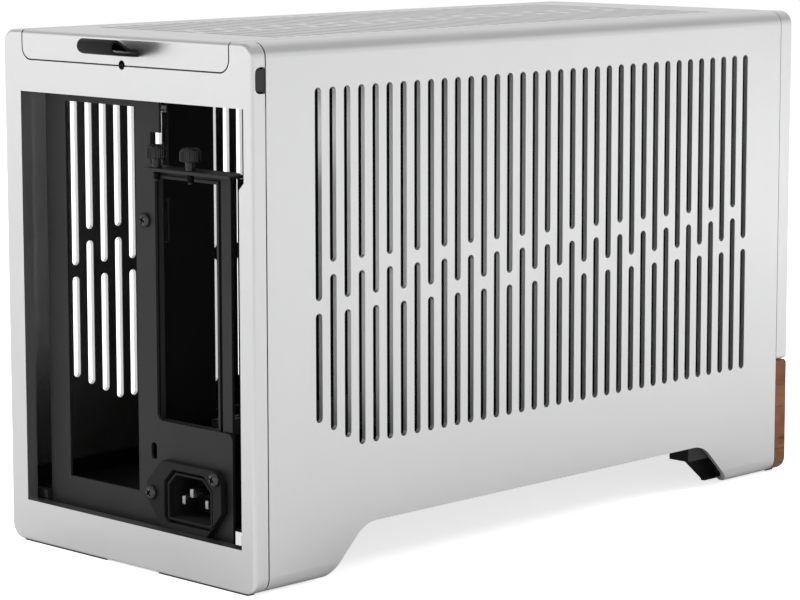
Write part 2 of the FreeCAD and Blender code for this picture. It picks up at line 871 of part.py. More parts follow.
def build_front_controls():
    face = FRONT
    centre = (BUTTON_X, D.button_height)
    stem = D.trim_wall + D.button_travel + D.button_proud
    cap = rod("button_cap", "y", (centre[0], face - D.button_proud, centre[1]), D.button_size / 2, stem)
    node(cap, "power_button")
    switch_face = face + D.trim_wall + D.button_travel * 2 + D.running_gap
    board_face = face + D.face_round + D.port_depth
    reach = D.button_size / 2
    body_limits = ((centre[0] - reach, centre[0] + reach), (centre[1] - reach, centre[1] + reach))
    switch = block("switch_body", body_limits[0], (switch_face, board_face), body_limits[1])
    node(switch, "button_switch")
    wall = D.steel
    sockets = []
    for index, place in enumerate(port_places()):
        half_width = D.port_width / 2 - D.running_gap
        half_height = D.port_opening / 2 - D.running_gap
        y = (face + D.face_round, face + D.face_round + D.port_depth)
        x = (place - half_width, place + half_width)
        z = (D.button_height - half_height, D.button_height + half_height)
        outer = block(f"socket_{index}", x, y, z)
        inner_x = (x[0] + wall, x[1] - wall)
        inner_z = (z[0] + wall, z[1] - wall)
        cavity = block(f"socket_cavity_{index}", inner_x, (y[0] - wall, y[1] - wall), inner_z)
        tongue_z = (D.button_height - wall / 2, D.button_height + wall / 2)
        tongue_x = (x[0] + wall * 2, x[1] - wall * 2)
        tongue = block(f"socket_tongue_{index}", tongue_x, (y[0] + wall, y[1] - wall / 2), tongue_z)
        sockets.append(fuse(f"socket_whole_{index}", [cut(f"socket_shell_{index}", outer, [cavity]), tongue]))
    node(group("Sockets", sockets), "front_ports")
    margin = D.port_width
    left = port_places()[0] - margin
    right = BUTTON_X + margin / 2
    tall = (FLOOR_TOP, D.button_height + D.port_width)
    board = block("io_board", (left, right), (board_face, board_face + D.board_sheet), tall)
    node(board, "front_io_board")


def bracket_profile(rear_end):
    """Side view of a foot bracket, upright behind the foot and sloping towards the arch."""
    ground = D.pad_height
    if rear_end:
        heel = REAR_SEAM
        top = REAR - D.rear_foot + D.toe_round
        toe = top + D.foot_run
    else:
        heel = FRONT_SEAM
        top = FRONT + D.front_bracket_top
        toe = top - D.front_bracket_run
    return [(heel, ground), (toe, ground), (top, D.floor_level), (heel, D.floor_level)]


def build_foot_bracket(side, rear_end, index):
    """Steel foot with a shelf over the rolled edge and two lugs that hold a hinge pin."""
    inner = HALF - D.bracket_inset
    leg = new_body(f"Bracket{index}")
    web = sketch(leg, f"bracket_web_{index}", "YZ", side * (inner - D.bracket_leg))
    outline(web, bracket_profile(rear_end))
    pad(leg, f"bracket_leg_{index}", web, D.bracket_leg, flip=side < 0)
    shelf = sketch(leg, f"bracket_shelf_{index}", "YZ", side * inner)
    low = D.floor_level - D.bracket_shelf
    ends = bracket_profile(rear_end)
    heel = PANEL_REAR if rear_end else PANEL_FRONT
    outline(shelf, [(heel, low), (ends[2][0], low), (ends[2][0], D.floor_level), (heel, D.floor_level)])
    pad(leg, f"bracket_shelf_pad_{index}", shelf, CHASSIS - inner, flip=side < 0)
    start = knuckle_places()[0 if rear_end else 1]
    gap = D.running_gap
    lug_starts = (start - D.lug_length - gap, start + D.knuckle_length + gap)
    ring_half = D.lug_ring / 2
    for number_of, lug in enumerate(lug_starts):
        ring = sketch(leg, f"lug_{index}_{number_of}", "XZ", lug + D.lug_length)
        disc(ring, side * HINGE_X, HINGE_Z, ring_half)
        pad(leg, f"lug_ring_{index}_{number_of}", ring, D.lug_length)
        arm = sketch(leg, f"arm_{index}_{number_of}", "XZ", lug + D.lug_length)
        outline(arm, rectangle((side * HINGE_X, side * inner), (HINGE_Z, HINGE_Z + ring_half)))
        pad(leg, f"lug_arm_{index}_{number_of}", arm, D.lug_length)
    bore = sketch(leg, f"lug_bore_{index}", "XZ", REAR)
    disc(bore, side * HINGE_X, HINGE_Z, D.hinge_pin / 2 + D.pin_play)
    pocket(leg, f"lug_bore_cut_{index}", bore, flip=True)
    return leg


def build_feet():
    corners = [(side, rear_end) for rear_end in (True, False) for side in (-1, 1)]
    names = ("rear_left_foot_bracket", "rear_right_foot_bracket")
    names += ("front_left_foot_bracket", "front_right_foot_bracket")
    for index, (corner, label) in enumerate(zip(corners, names)):
        node(build_foot_bracket(corner[0], corner[1], index), label)
    length = D.knuckle_length + (D.lug_length + D.running_gap) * 2
    for side, label in ((-1, "left_hinge_pins"), (1, "right_hinge_pins")):
        pins = []
        for index, start in enumerate(knuckle_places()):
            begin = (side * HINGE_X, start - D.lug_length - D.running_gap, HINGE_Z)
            pins.append(rod(f"{label}_{index}", "y", begin, D.hinge_pin / 2, length))
        node(group(label + "_pair", pins), label)
    pads = []
    low, high = 0 * D.pad_height, D.pad_height
    inner = HALF - D.bracket_inset
    leg = (inner - D.bracket_leg, inner)
    rear_bar = (REAR - D.rear_wrap + D.face_round, REAR - D.skin)
    pads.append(block("pad_rear_right", (D.pad_gap / 2, HINGE_X), rear_bar, (low, high)))
    pads.append(block("pad_rear_left", (-HINGE_X, -D.pad_gap / 2), rear_bar, (low, high)))
    trim_bar = (FRONT + D.skin, FRONT_SEAM - D.face_round)
    pads.append(block("pad_front", (-HINGE_X, HINGE_X), trim_bar, (low, high)))
    for side, name in ((-1, "left"), (1, "right")):
        across = (leg[0], leg[1]) if side > 0 else (-leg[1], -leg[0])
        rear_toe = bracket_profile(True)[1][0]
        front_toe = bracket_profile(False)[1][0]
        pads.append(block(f"pad_rear_{name}_leg", across, (rear_toe, REAR_SEAM), (low, high)))
        pads.append(block(f"pad_front_{name}_leg", across, (FRONT_SEAM, front_toe), (low, high)))
    node(group("FootPads", pads), "foot_pads")


def build_chassis():
    floor_rear = PLATE_BACK
    floor = block("floor_sheet", (-CHASSIS, CHASSIS), (BULKHEAD, floor_rear), (D.floor_level, FLOOR_TOP))
    pieces = [floor]
    for side, name in ((-1, "left"), (1, "right")):
        edges = (CHASSIS - D.steel, CHASSIS) if side > 0 else (-CHASSIS, D.steel - CHASSIS)
        edge_top = FLOOR_TOP + D.floor_edge
        pieces.append(block(f"floor_edge_{name}", edges, (BULKHEAD, floor_rear), (D.floor_level, edge_top)))
    inlet_half = D.socket_width / 2 + D.inlet_wall + D.running_gap
    inlet_end = PLATE_FACE + D.inlet_proud - D.inlet_length - D.running_gap
    room = block(
        "floor_room",
        (-INLET_X - inlet_half, inlet_half - INLET_X),
        (inlet_end, PLATE_FACE),
        (D.floor_level - D.steel, FLOOR_TOP + D.steel),
    )
    node(cut("BaseFloor", fuse("floor_sheets", pieces), [room]), "base_floor")
    sheet_head = RAIL_TOP - D.steel
    across = (D.steel - CHASSIS, CHASSIS - D.steel)
    sheet = block("bulkhead_sheet", across, (FRONT_SEAM, BULKHEAD), (D.floor_level, sheet_head))
    port_room = D.port_width * 2
    room = block(
        "bulkhead_room",
        (port_places()[0] - port_room, BUTTON_X + D.port_width),
        (FRONT_SEAM - D.steel, BULKHEAD + D.steel),
        (D.floor_level - D.steel, D.trim_height),
    )
    corner = D.top_round - D.skin
    clear = (FRONT_SEAM - D.steel, BULKHEAD + D.steel)
    up = (sheet_head - corner, sheet_head + D.steel)
    left = block("bulkhead_left_corner", (-CHASSIS, across[0] + corner), clear, up)
    right = block("bulkhead_right_corner", (across[1] - corner, CHASSIS), clear, up)
    node(cut("FrontBulkhead", sheet, [room, left, right]), "front_bulkhead")
    for side, name in ((-1, "left"), (1, "right")):
        build_top_rail(side, name)


def build_top_rail(side, name):
    """Angle section under the top edge, with holes that catch the studs of the lid and panel."""
    body = new_body(name + "_rail")
    edge = side * (CHASSIS - D.rail_width)
    outer = side * CHASSIS
    inner = side * (CHASSIS - D.steel)
    under = RAIL_TOP - D.steel
    foot = RAIL_TOP - D.rail_height
    bend = D.top_round - D.skin - D.running_gap
    section = sketch(body, name + "_rail_section", "XZ", REAR_SEAM)
    outline(
        section,
        [
            (edge, RAIL_TOP),
            (outer, RAIL_TOP, bend),
            (outer, foot),
            (inner, foot),
            (inner, under, bend - D.steel),
            (edge, under),
        ],
    )
    pad(body, name + "_rail_sheet", section, REAR_SEAM - FRONT_SEAM)
    radius = D.stud / 2 + D.stud_play
    upper = sketch(body, name + "_lid_holes", "XY", TOP)
    beside = sketch(body, name + "_side_holes", "YZ", edge)
    for place, _ in stud_places():
        disc(upper, side * lid_stud_side(), place, radius)
        disc(beside, place, STUD_Z, radius)
    pocket(body, name + "_lid_holes_cut", upper, D.skin * 3)
    pocket(body, name + "_side_holes_cut", beside, flip=side > 0)
    node(body, name + "_top_rail")


def stud_places():
    return ((PANEL_REAR - D.stud_inset, "rear"), (PANEL_FRONT + D.stud_inset, "front"))


def lid_stud_side():
    return LID_HALF - D.stud


def build_studs():
    """Catch studs: short posts with a tapered nose under the lid and inside the panels."""
    radius = D.stud / 2
    nose = D.stud / 2
    body_length = D.stud_length - nose
    lid_studs = []
    for side in (-1, 1):
        for place, name in stud_places():
            foot = TOP - D.skin - body_length
            start = (side * lid_stud_side(), place, foot)
            tip = (side * lid_stud_side(), place, foot - nose)
            post = rod(f"lid_stud_{name}_{side}", "z", start, radius, body_length)
            point = taper(f"lid_nose_{name}_{side}", "z", tip, (radius / 2, radius), nose)
            lid_studs.append(fuse(f"lid_stud_whole_{name}_{side}", [post, point]))
    node(group("LidStuds", lid_studs), "lid_studs")
    for side, label in ((-1, "left_panel_studs"), (1, "right_panel_studs")):
        studs = []
        for place, name in stud_places():
            if side < 0:
                post_start, nose_start = -INNER, body_length - INNER
                radii = (radius, radius / 2)
            else:
                post_start, nose_start = INNER - body_length, INNER - D.stud_length
                radii = (radius / 2, radius)
            post = rod(f"{label}_{name}", "x", (post_start, place, STUD_Z), radius, body_length)
            point = taper(f"{label}_nose_{name}", "x", (nose_start, place, STUD_Z), radii, nose)
            studs.append(fuse(f"{label}_whole_{name}", [post, point]))
        node(group(label + "_pair", studs), label)


def inlet_screw_places():
    left = (-(INLET_X - D.inlet_screw_left), D.inlet_level)
    right = (-(INLET_X + D.inlet_screw_right), D.inlet_level + D.inlet_screw_rise)
    return left, right


def plate_screw_places():
    middle = (D.io_side - D.card_side) / 2
    return ((middle, PLATE_SCREW_Z),)


def build_rear_plate():
    """Recessed plate: board connector opening, expansion slot notch, inlet and screw holes."""
    body = new_body("RearPlate")
    face = sketch(body, "plate_outline", "XZ", PLATE_FACE)
    strip = -D.card_side
    outline(
        face,
        [
            (PLATE_RIGHT, D.plate_foot),
            (PLATE_RIGHT, PLATE_HEAD),
            (strip - D.strip_reach, PLATE_HEAD),
            (strip - D.strip_reach, NOTCH_HEAD),
            (strip + D.notch_depth, NOTCH_HEAD),
            (strip + D.notch_depth, SHELF + D.notch_depth),
            (strip, SHELF),
            (strip, D.card_foot, D.plate_round),
            (-PLATE_LEFT, D.card_foot, D.plate_round),
            (-PLATE_LEFT, D.plate_foot + D.plate_round),
            (-PLATE_LEFT + D.plate_round, D.plate_foot),
        ],
    )
    pad(body, "plate_sheet", face, D.steel)
    holes = sketch(body, "plate_holes", "XZ", PLATE_FACE)
    io_limits = (D.io_side, D.io_side + D.io_width)
    outline(holes, rectangle(io_limits, (D.io_foot, IO_HEAD)))
    half_vent = D.vent_length / 2
    vent = (-D.vent_side, D.vent_middle - half_vent), (-D.vent_side, D.vent_middle + half_vent)
    slot(holes, vent[0], vent[1], D.vent_width)
    outline(holes, socket_outline(D.inlet_wall + D.running_gap))
    shank = D.screw_shank / 2 + D.pin_play
    for x, z in inlet_screw_places() + plate_screw_places():
        disc(holes, x, z, shank)
    pocket(body, "plate_holes_cut", holes, flip=True)
    return node(body, "rear_plate")


BRACKET_FACE = PLATE_FACE - D.bracket_recess
BRACKET_BACK = BRACKET_FACE - D.steel
CARD_START = -D.card_side + D.card_lip


def card_limits():
    """Opening for the card brackets: across and up."""
    across = (D.card_margin - PLATE_LEFT, CARD_START)
    up = (D.card_foot, SHELF - D.card_border)
    return across, up


def thumb_places():
    return [-D.first_slot - D.slot_spacing * step for step in (0, 1)]


def build_slot_bracket():
    """Inner frame of the expansion slots, its side flange and the shelf for the bracket screws."""
    across, up = card_limits()
    lip = D.steel
    ring_x = (across[0] - D.card_border, across[1] + D.card_border)
    ring_z = (up[0] - D.card_border, SHELF)
    ring = block("card_ring", ring_x, (BRACKET_BACK, BRACKET_FACE), ring_z)
    collar_x = (across[0] - lip, across[1] + lip)
    collar_z = (up[0] - lip, up[1] + lip)
    collar = block("card_collar", collar_x, (BRACKET_BACK, BRACKET_FACE + lip), collar_z)
    flange_y = (BRACKET_BACK, PLATE_BACK)
    flange = block("card_flange", (ring_x[0] - D.steel, ring_x[0]), flange_y, ring_z)
    strip_x = (-PLATE_LEFT + D.steel, ring_x[0])
    strip_y = (PLATE_BACK - D.steel, PLATE_BACK)
    strip_z = (D.card_foot + D.running_gap, SHELF)
    strip = block("card_strip", strip_x, strip_y, strip_z)
    root = block("card_foot", ring_x, flange_y, (ring_z[0], ring_z[0] + D.steel))
    shelf = build_shelf()
    opening = block("card_opening", across, (BRACKET_BACK - lip, PLATE_FACE), up)
    solid = fuse("bracket_sheets", [ring, collar, flange, strip, root, shelf])
    tools = [opening]
    radius = D.thumb_shank / 2 + D.pin_play
    for index, place in enumerate(thumb_places()):
        start = (place, thumb_line(), SHELF - D.thumb_thread)
        tools.append(rod(f"thumb_hole_{index}", "z", start, radius, D.thumb_thread + D.steel * 2))
    node(cut("SlotBracket", solid, tools), "slot_bracket")


def thumb_line():
    """Line along the shelf on which the bracket screws stand."""
    return PLATE_FACE + D.thumb_line


def build_shelf():
    body = new_body("Shelf")
    plan = sketch(body, "shelf_plan", "XY", SHELF)
    front = PLATE_FACE + D.shelf_reach
    outline(
        plan,
        [
            (-D.shelf_start, BRACKET_BACK),
            (-D.shelf_start, front),
            (-SHELF_END, front),
            (-SHELF_END, PLATE_FACE),
            (-PLATE_LEFT, BRACKET_BACK),
        ],
    )
    pad(body, "shelf_sheet", plan, D.steel)
    return body


def build_thumbscrews():
    """Knurled screws: shank through the shelf, neck, and a head with a bevelled top."""
    bevel = D.thumb_height / 5
    shelf_top = SHELF + D.steel
    for place, label in zip(thumb_places(), ("slot_thumbscrew_a", "slot_thumbscrew_b")):
        line = thumb_line()
        shank_foot = SHELF - D.thumb_thread
        shank_length = shelf_top + D.thumb_neck - shank_foot
        shank = rod(label + "_shank", "z", (place, line, shank_foot), D.thumb_shank / 2, shank_length)
        head_foot = shelf_top + D.thumb_neck
        straight = D.thumb_height - bevel
        radius = D.thumb_head / 2
        head = rod(label + "_head", "z", (place, line, head_foot), radius, straight)
        top = taper(label + "_top", "z", (place, line, head_foot + straight), (radius, radius - bevel), bevel)
        collar_foot = shelf_top + D.running_gap
        collar_length = D.thumb_neck - D.running_gap
        collar = rod(label + "_neck", "z", (place, line, collar_foot), D.thumb_shank * 0.7, collar_length)
        node(fuse(label + "_whole", [shank, collar, head, top]), label)


def screw(name, x, z, face):
    """Cross-head screw that goes into a face from behind the case."""
    radius = D.screw_head / 2
    shank = rod(name + "_shank", "y", (x, face - D.screw_length, z), D.screw_shank / 2, D.screw_length)
    base = D.screw_rise / 3
    rim = rod(name + "_rim", "y", (x, face, z), radius, base)
    dome = taper(name + "_dome", "y", (x, face + base, z), (radius, radius * 0.6), D.screw_rise - base)
    whole = fuse(name + "_whole", [shank, rim, dome])
    arm = D.screw_head / 12
    reach = D.screw_head / 3.4
    depth = (face + base, face + D.screw_rise + base)
    wide = block(name + "_slot_a", (x - reach, x + reach), depth, (z - arm, z + arm))
    tall = block(name + "_slot_b", (x - arm, x + arm), depth, (z - reach, z + reach))
    return cut(name + "_screw", whole, [wide, tall])


def build_screws():
    for x, z in plate_screw_places():
        node(screw("plate", x, z, PLATE_FACE), "plate_screw")
    on_inlet = []
    for index, (x, z) in enumerate(inlet_screw_places()):
        on_inlet.append(screw(f"inlet_{index}", x, z, PLATE_FACE + D.inlet_proud))
    node(group("InletScrews", on_inlet), "inlet_screws")


def inlet_flange_outline():
    """Six-sided flange, lopsided: one ear half way up on the right, one high on the left."""
    middle = -INLET_X
    low = D.inlet_level - D.inlet_height / 2
    high = D.inlet_level + D.inlet_height / 2
    right = middle + D.inlet_screw_left + D.inlet_wall * 2
    left = middle - D.inlet_width / 2 + D.inlet_wall * 2
    return [
        (right - D.inlet_corner, low),
        (right, D.inlet_level - D.inlet_corner / 3),
        (right, D.inlet_level + D.inlet_corner / 2),
        (right - D.inlet_corner, high),
        (left + D.inlet_corner / 2, high),
        (left, high - D.inlet_corner / 2),
        (left, D.inlet_level - D.inlet_corner / 3),
        (left + D.inlet_corner, low),
    ]


def socket_outline(margin):
    """Socket with its two upper corners cut off, widened by a margin."""
    middle = -INLET_X
    reach = D.socket_width / 2 + margin
    low = D.inlet_level - D.socket_height / 2 - margin
    high = D.inlet_level + D.socket_height / 2 + margin
    corner = D.socket_corner
    return [
        (middle - reach, low),
        (middle + reach, low),
        (middle + reach, high - corner),
        (middle + reach - corner, high),
        (middle - reach + corner, high),
        (middle - reach, high - corner),
    ]


def build_inlet():
    body = new_body("InletBody")
    flange_face = PLATE_FACE + D.inlet_proud
    flange = sketch(body, "inlet_flange", "XZ", flange_face)
    outline(flange, inlet_flange_outline())
    pad(body, "inlet_flange_pad", flange, D.inlet_proud)
    barrel = sketch(body, "inlet_barrel", "XZ", PLATE_FACE)
    outline(barrel, socket_outline(D.inlet_wall))
    pad(body, "inlet_barrel_pad", barrel, D.inlet_length - D.inlet_proud)
    cavity = sketch(body, "inlet_cavity", "XZ", flange_face)
    outline(cavity, socket_outline(0))
    pocket(body, "inlet_cavity_cut", cavity, D.socket_depth, flip=True)
    holes = sketch(body, "inlet_holes", "XZ", flange_face)
    for x, z in inlet_screw_places():
        disc(holes, x, z, D.screw_shank / 2 + D.pin_play)
    pocket(body, "inlet_holes_cut", holes, D.inlet_proud, flip=True)
    node(body, "inlet_body")
    bottom = flange_face - D.socket_depth
    tip = bottom + D.socket_depth * 0.8
    pins = []
    half_width = D.blade_width / 2
    half_height = D.blade_height / 2
    sides = ((-1, -1), (1, -1), (0, 1))
    for index, (across, up) in enumerate(sides):
        x = across * D.blade_spacing / 2 - INLET_X
        z = up * D.blade_offset + D.inlet_level
        limits = ((x - half_width, x + half_width), (bottom, tip), (z - half_height, z + half_height))
        pins.append(block(f"inlet_pin_{index}", limits[0], limits[1], limits[2]))
    node(group("InletPins", pins), "inlet_pins")


def build_spine_wall():
    """Wall between the two chambers, with a window behind the board and tabs to the rear plate."""
    x = (-D.wall_side - D.steel, -D.wall_side)
    rear_edge = PLATE_FACE - D.wall_rear
    front_edge = FRONT + D.wall_front
    sheet = block("wall_sheet", x, (front_edge, rear_edge), (FLOOR_TOP, WALL_HEAD))
    tab_low = block("wall_tab_low", x, (rear_edge, PLATE_BACK), (FLOOR_TOP, TAB_LOW))
    tab_high = block("wall_tab_high", x, (rear_edge, PLATE_BACK), (TAB_MID, TAB_HIGH))
    window_rear = rear_edge - D.wall_border
    window_y = (window_rear - D.wall_window, window_rear)
    window_x = (x[0] - D.steel, x[1] + D.steel)
    window = block("wall_window", window_x, window_y, (D.wall_window_foot, WALL_WINDOW_HEAD))
    node(cut("SpineWall", fuse("wall_sheets", [sheet, tab_low, tab_high]), [window]), "spine_wall")
    build_standoffs()
    build_psu_bracket()
    build_riser()


def build_standoffs():
    level = (D.io_foot + IO_HEAD) / 2
    hole_height = IO_HEAD - D.io_foot - D.board_hole_trim
    rear = PLATE_BACK - D.board_inset
    posts = []
    for y, depth_name in ((rear, "rear"), (rear - D.board_hole_depth, "front")):
        for up in (-1, 1):
            z = level + up * hole_height / 2
            name = f"standoff_{depth_name}_{up}"
            post = rod(name, "x", (-D.wall_side, y, z), D.standoff / 2, D.standoff_height)
            bore = rod(name + "_bore", "x", (D.steel - D.wall_side, y, z), D.standoff / 4, D.standoff_height)
            posts.append(cut(name + "_post", post, [bore]))
    node(group("Standoffs", posts), "standoffs")


def build_psu_bracket():
    """Angle that holds the power supply across the board chamber."""
    y = (MIDDLE - D.psu_front - D.steel, MIDDLE - D.psu_front)
    x = (-D.wall_side, D.psu_width - D.wall_side)
    z = (D.psu_foot, D.psu_foot + D.psu_height)
    face = block("psu_face", x, y, z)
    foot_y = (y[0], y[1] + D.psu_border)
    flange = block("psu_flange", (x[0], x[0] + D.steel), foot_y, z)
    border = D.psu_border
    inner_x = (x[0] + border, x[1] - border)
    inner_z = (z[0] + border, z[1] - border)
    window = block("psu_window", inner_x, (y[0] - D.steel, y[1] + D.steel), inner_z)
    solid = fuse("psu_sheets", [cut("psu_frame", face, [window]), flange])
    node(solid, "psu_bracket")


def build_riser():
    """Card slot on its board, carried by an angle on the card side of the wall."""
    wall = -D.wall_side - D.steel
    rear = PLATE_BACK - D.riser_start
    y = (rear - D.riser_length, rear)
    across = (wall - D.riser_width, wall)
    level = D.riser_level
    shelf = block("riser_shelf", across, y, (level, level + D.steel))
    upright = block("riser_upright", (wall - D.steel, wall), y, (level - D.riser_width / 2, level + D.steel))
    node(fuse("RiserBracket", [shelf, upright]), "riser_bracket")
    board_z = (level + D.steel, level + D.steel + D.board_sheet)
    board_x = (across[0], across[1] - D.steel)
    node(block("RiserBoard", board_x, y, board_z), "riser_board")
    middle_x = (board_x[0] + board_x[1]) / 2
    middle_y = (y[0] + y[1]) / 2
    half_width = D.card_slot_width / 2
    half_length = D.card_slot_length / 2
    slot_x = (middle_x - half_width, middle_x + half_width)
    slot_y = (middle_y - half_length, middle_y + half_length)
    shell = block("card_slot", slot_x, slot_y, (board_z[1], board_z[1] + D.card_slot_height))
    half_gap = D.card_slot_gap / 2
    groove_y = (slot_y[0] + D.card_slot_gap, slot_y[1] - D.card_slot_gap)
    groove_z = (board_z[1] + D.card_slot_gap, board_z[1] + D.card_slot_height + D.steel)
    groove = block("card_groove", (middle_x - half_gap, middle_x + half_gap), groove_y, groove_z)
    node(cut("RiserSlot", shell, [groove]), "riser_slot")


def build_side_post():
    """Upright beside the expansion slots, folded onto the back of the rear plate."""
    y = (PLATE_BACK - D.steel * 4, PLATE_BACK - D.steel * 3)
    x = (D.steel - PLATE_LEFT - D.post_width, D.steel - PLATE_LEFT)
    z = (D.post_foot, SHELF - D.steel)
    sheet = block("post_sheet", x, y, z)
    web_z = (D.post_foot, D.card_foot)
    web = block("post_web", (x[1] - D.steel, x[1]), (y[1], PLATE_BACK), web_z)
    node(fuse("SidePost", [sheet, web]), "side_post")


build_rear_frame()
build_top_lid()
build_side_panel("left_side_panel", -1)
build_side_panel("right_side_panel", 1)
build_side_tab("left_pull_tab", -1)
build_side_tab("right_pull_tab", 1)
build_lid_strap()
build_front_panel()
build_walnut_trim()
build_front_controls()
build_feet()
build_chassis()
build_studs()
build_rear_plate()
build_slot_bracket()
build_thumbscrews()
build_screws()
build_inlet()
build_spine_wall()
build_side_post()
doc.recompute()

for item in doc.Objects:
    if "Invalid" in item.State or "Error" in item.State:
        raise RuntimeError(f"{item.Label} failed: {item.State}")
for piece in nodes:
    if piece.Shape.isNull() or not piece.Shape.isValid():
        raise RuntimeError(f"{piece.Label} has no sound shape")

os.makedirs("parts", exist_ok=True)
for piece in nodes:
    piece.Shape.exportStep(os.path.join("parts", piece.Label + ".step"))
    box = piece.Shape.BoundBox
    print(
        f"{piece.Label:24s} solids {len(piece.Shape.Solids)} volume {piece.Shape.Volume:10.1f}"
        f"  x {box.XMin:7.2f} {box.XMax:7.2f}  y {box.YMin:7.2f} {box.YMax:7.2f}"
        f"  z {box.ZMin:7.2f} {box.ZMax:7.2f}"
    )
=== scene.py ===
import json
import math

import bmesh
import bpy
from mathutils import Matrix, Vector


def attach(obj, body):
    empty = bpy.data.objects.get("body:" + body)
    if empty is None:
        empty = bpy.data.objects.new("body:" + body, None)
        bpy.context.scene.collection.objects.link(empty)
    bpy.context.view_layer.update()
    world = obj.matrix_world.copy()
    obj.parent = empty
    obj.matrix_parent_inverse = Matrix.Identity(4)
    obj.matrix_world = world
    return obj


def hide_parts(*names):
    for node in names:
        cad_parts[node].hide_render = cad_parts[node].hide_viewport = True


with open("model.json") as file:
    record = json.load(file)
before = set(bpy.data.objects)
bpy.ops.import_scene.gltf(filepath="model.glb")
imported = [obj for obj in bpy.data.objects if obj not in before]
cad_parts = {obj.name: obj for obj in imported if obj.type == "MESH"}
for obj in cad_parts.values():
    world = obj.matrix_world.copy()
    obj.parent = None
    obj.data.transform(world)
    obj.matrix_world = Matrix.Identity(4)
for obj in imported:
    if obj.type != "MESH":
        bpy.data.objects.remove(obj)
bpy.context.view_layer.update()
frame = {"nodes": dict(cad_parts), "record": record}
NODES = frame["nodes"]

MM = 0.001


# Sizes and places in millimetres

SLOT_REACH = 153.0

THUMB_LINE = 158.8
THUMB_PLACES = {"a": -14.2, "b": -34.52}
THUMB_FOOT, THUMB_SEAT, THUMB_TOP = 160.3, 165.5, 174.8
THREAD_START, THREAD_PITCH, THREAD_RISE, THREAD_TURNS = 0.4, 0.45, 0.22, 8
THREAD_ROOT, SHANK_RADIUS, NECK_RADIUS = 1.26, 1.5, 2.1
HEAD_FOOT, HEAD_RADIUS = 169.2, 4.35
KNURL_DEPTH, KNURL_INSET, KNURL_RIDGES = 0.34, 0.35, 30
KNURL_HEIGHT = THUMB_TOP - HEAD_FOOT - 1.6

PLATE_FACE = 155.0
FLANGE_FACE = 158.5
PLATE_SCREW_SEATS = ((-2.4, PLATE_FACE, 143.0),)
INLET_SCREW_SEATS = ((-8.4, FLANGE_FACE, 31.9), (-46.9, FLANGE_FACE, 42.7))
RECESS_WIDTH, RECESS_LENGTH = 0.46, 1.75
RECESS_MOUTH, RECESS_FLOOR, RECESS_TAPER = 2.6, 0.75, 0.55

MOUTH_LEFT, MOUTH_RIGHT, MOUTH_LOW, MOUTH_HIGH = -43.0, -18.0, 22.9, 40.9
MOUTH_CORNER, MOUTH_CORNER_GROWTH = 4.5, 0.41
SOCKET_FLOOR = 141.0
SOCKET_END = 132.5
BLADE_HALF_WIDTH, BLADE_HALF_HEIGHT = 1.0, 2.0
BLADE_TIPS = ((-37.5, 155.1, 30.4), (-23.5, 155.1, 30.4), (-30.5, 157.0, 34.4))

STRAP_HALF_WIDTH, STRAP_HALF_SHEET, STRAP_EASE = 10.4, 0.55, 0.3

BUTTON_PLACE = (56.0, -179.1, 30.0)

PORT_MIDDLES = (-32.0, -8.0, 16.0)
PORT_LEVEL = 30.0
PORT_HALF_WIDTH, PORT_HALF_HEIGHT, PORT_SHEET = 6.95, 3.45, 0.55
PORT_MOUTH, PORT_BACK = -176.9, -161.4
TONGUE_HALF_WIDTH = 5.4
CONTACT_PITCH, CONTACT_COUNT, CONTACT_HALF_WIDTH = 2.4, 4, 0.6


# Shader benches

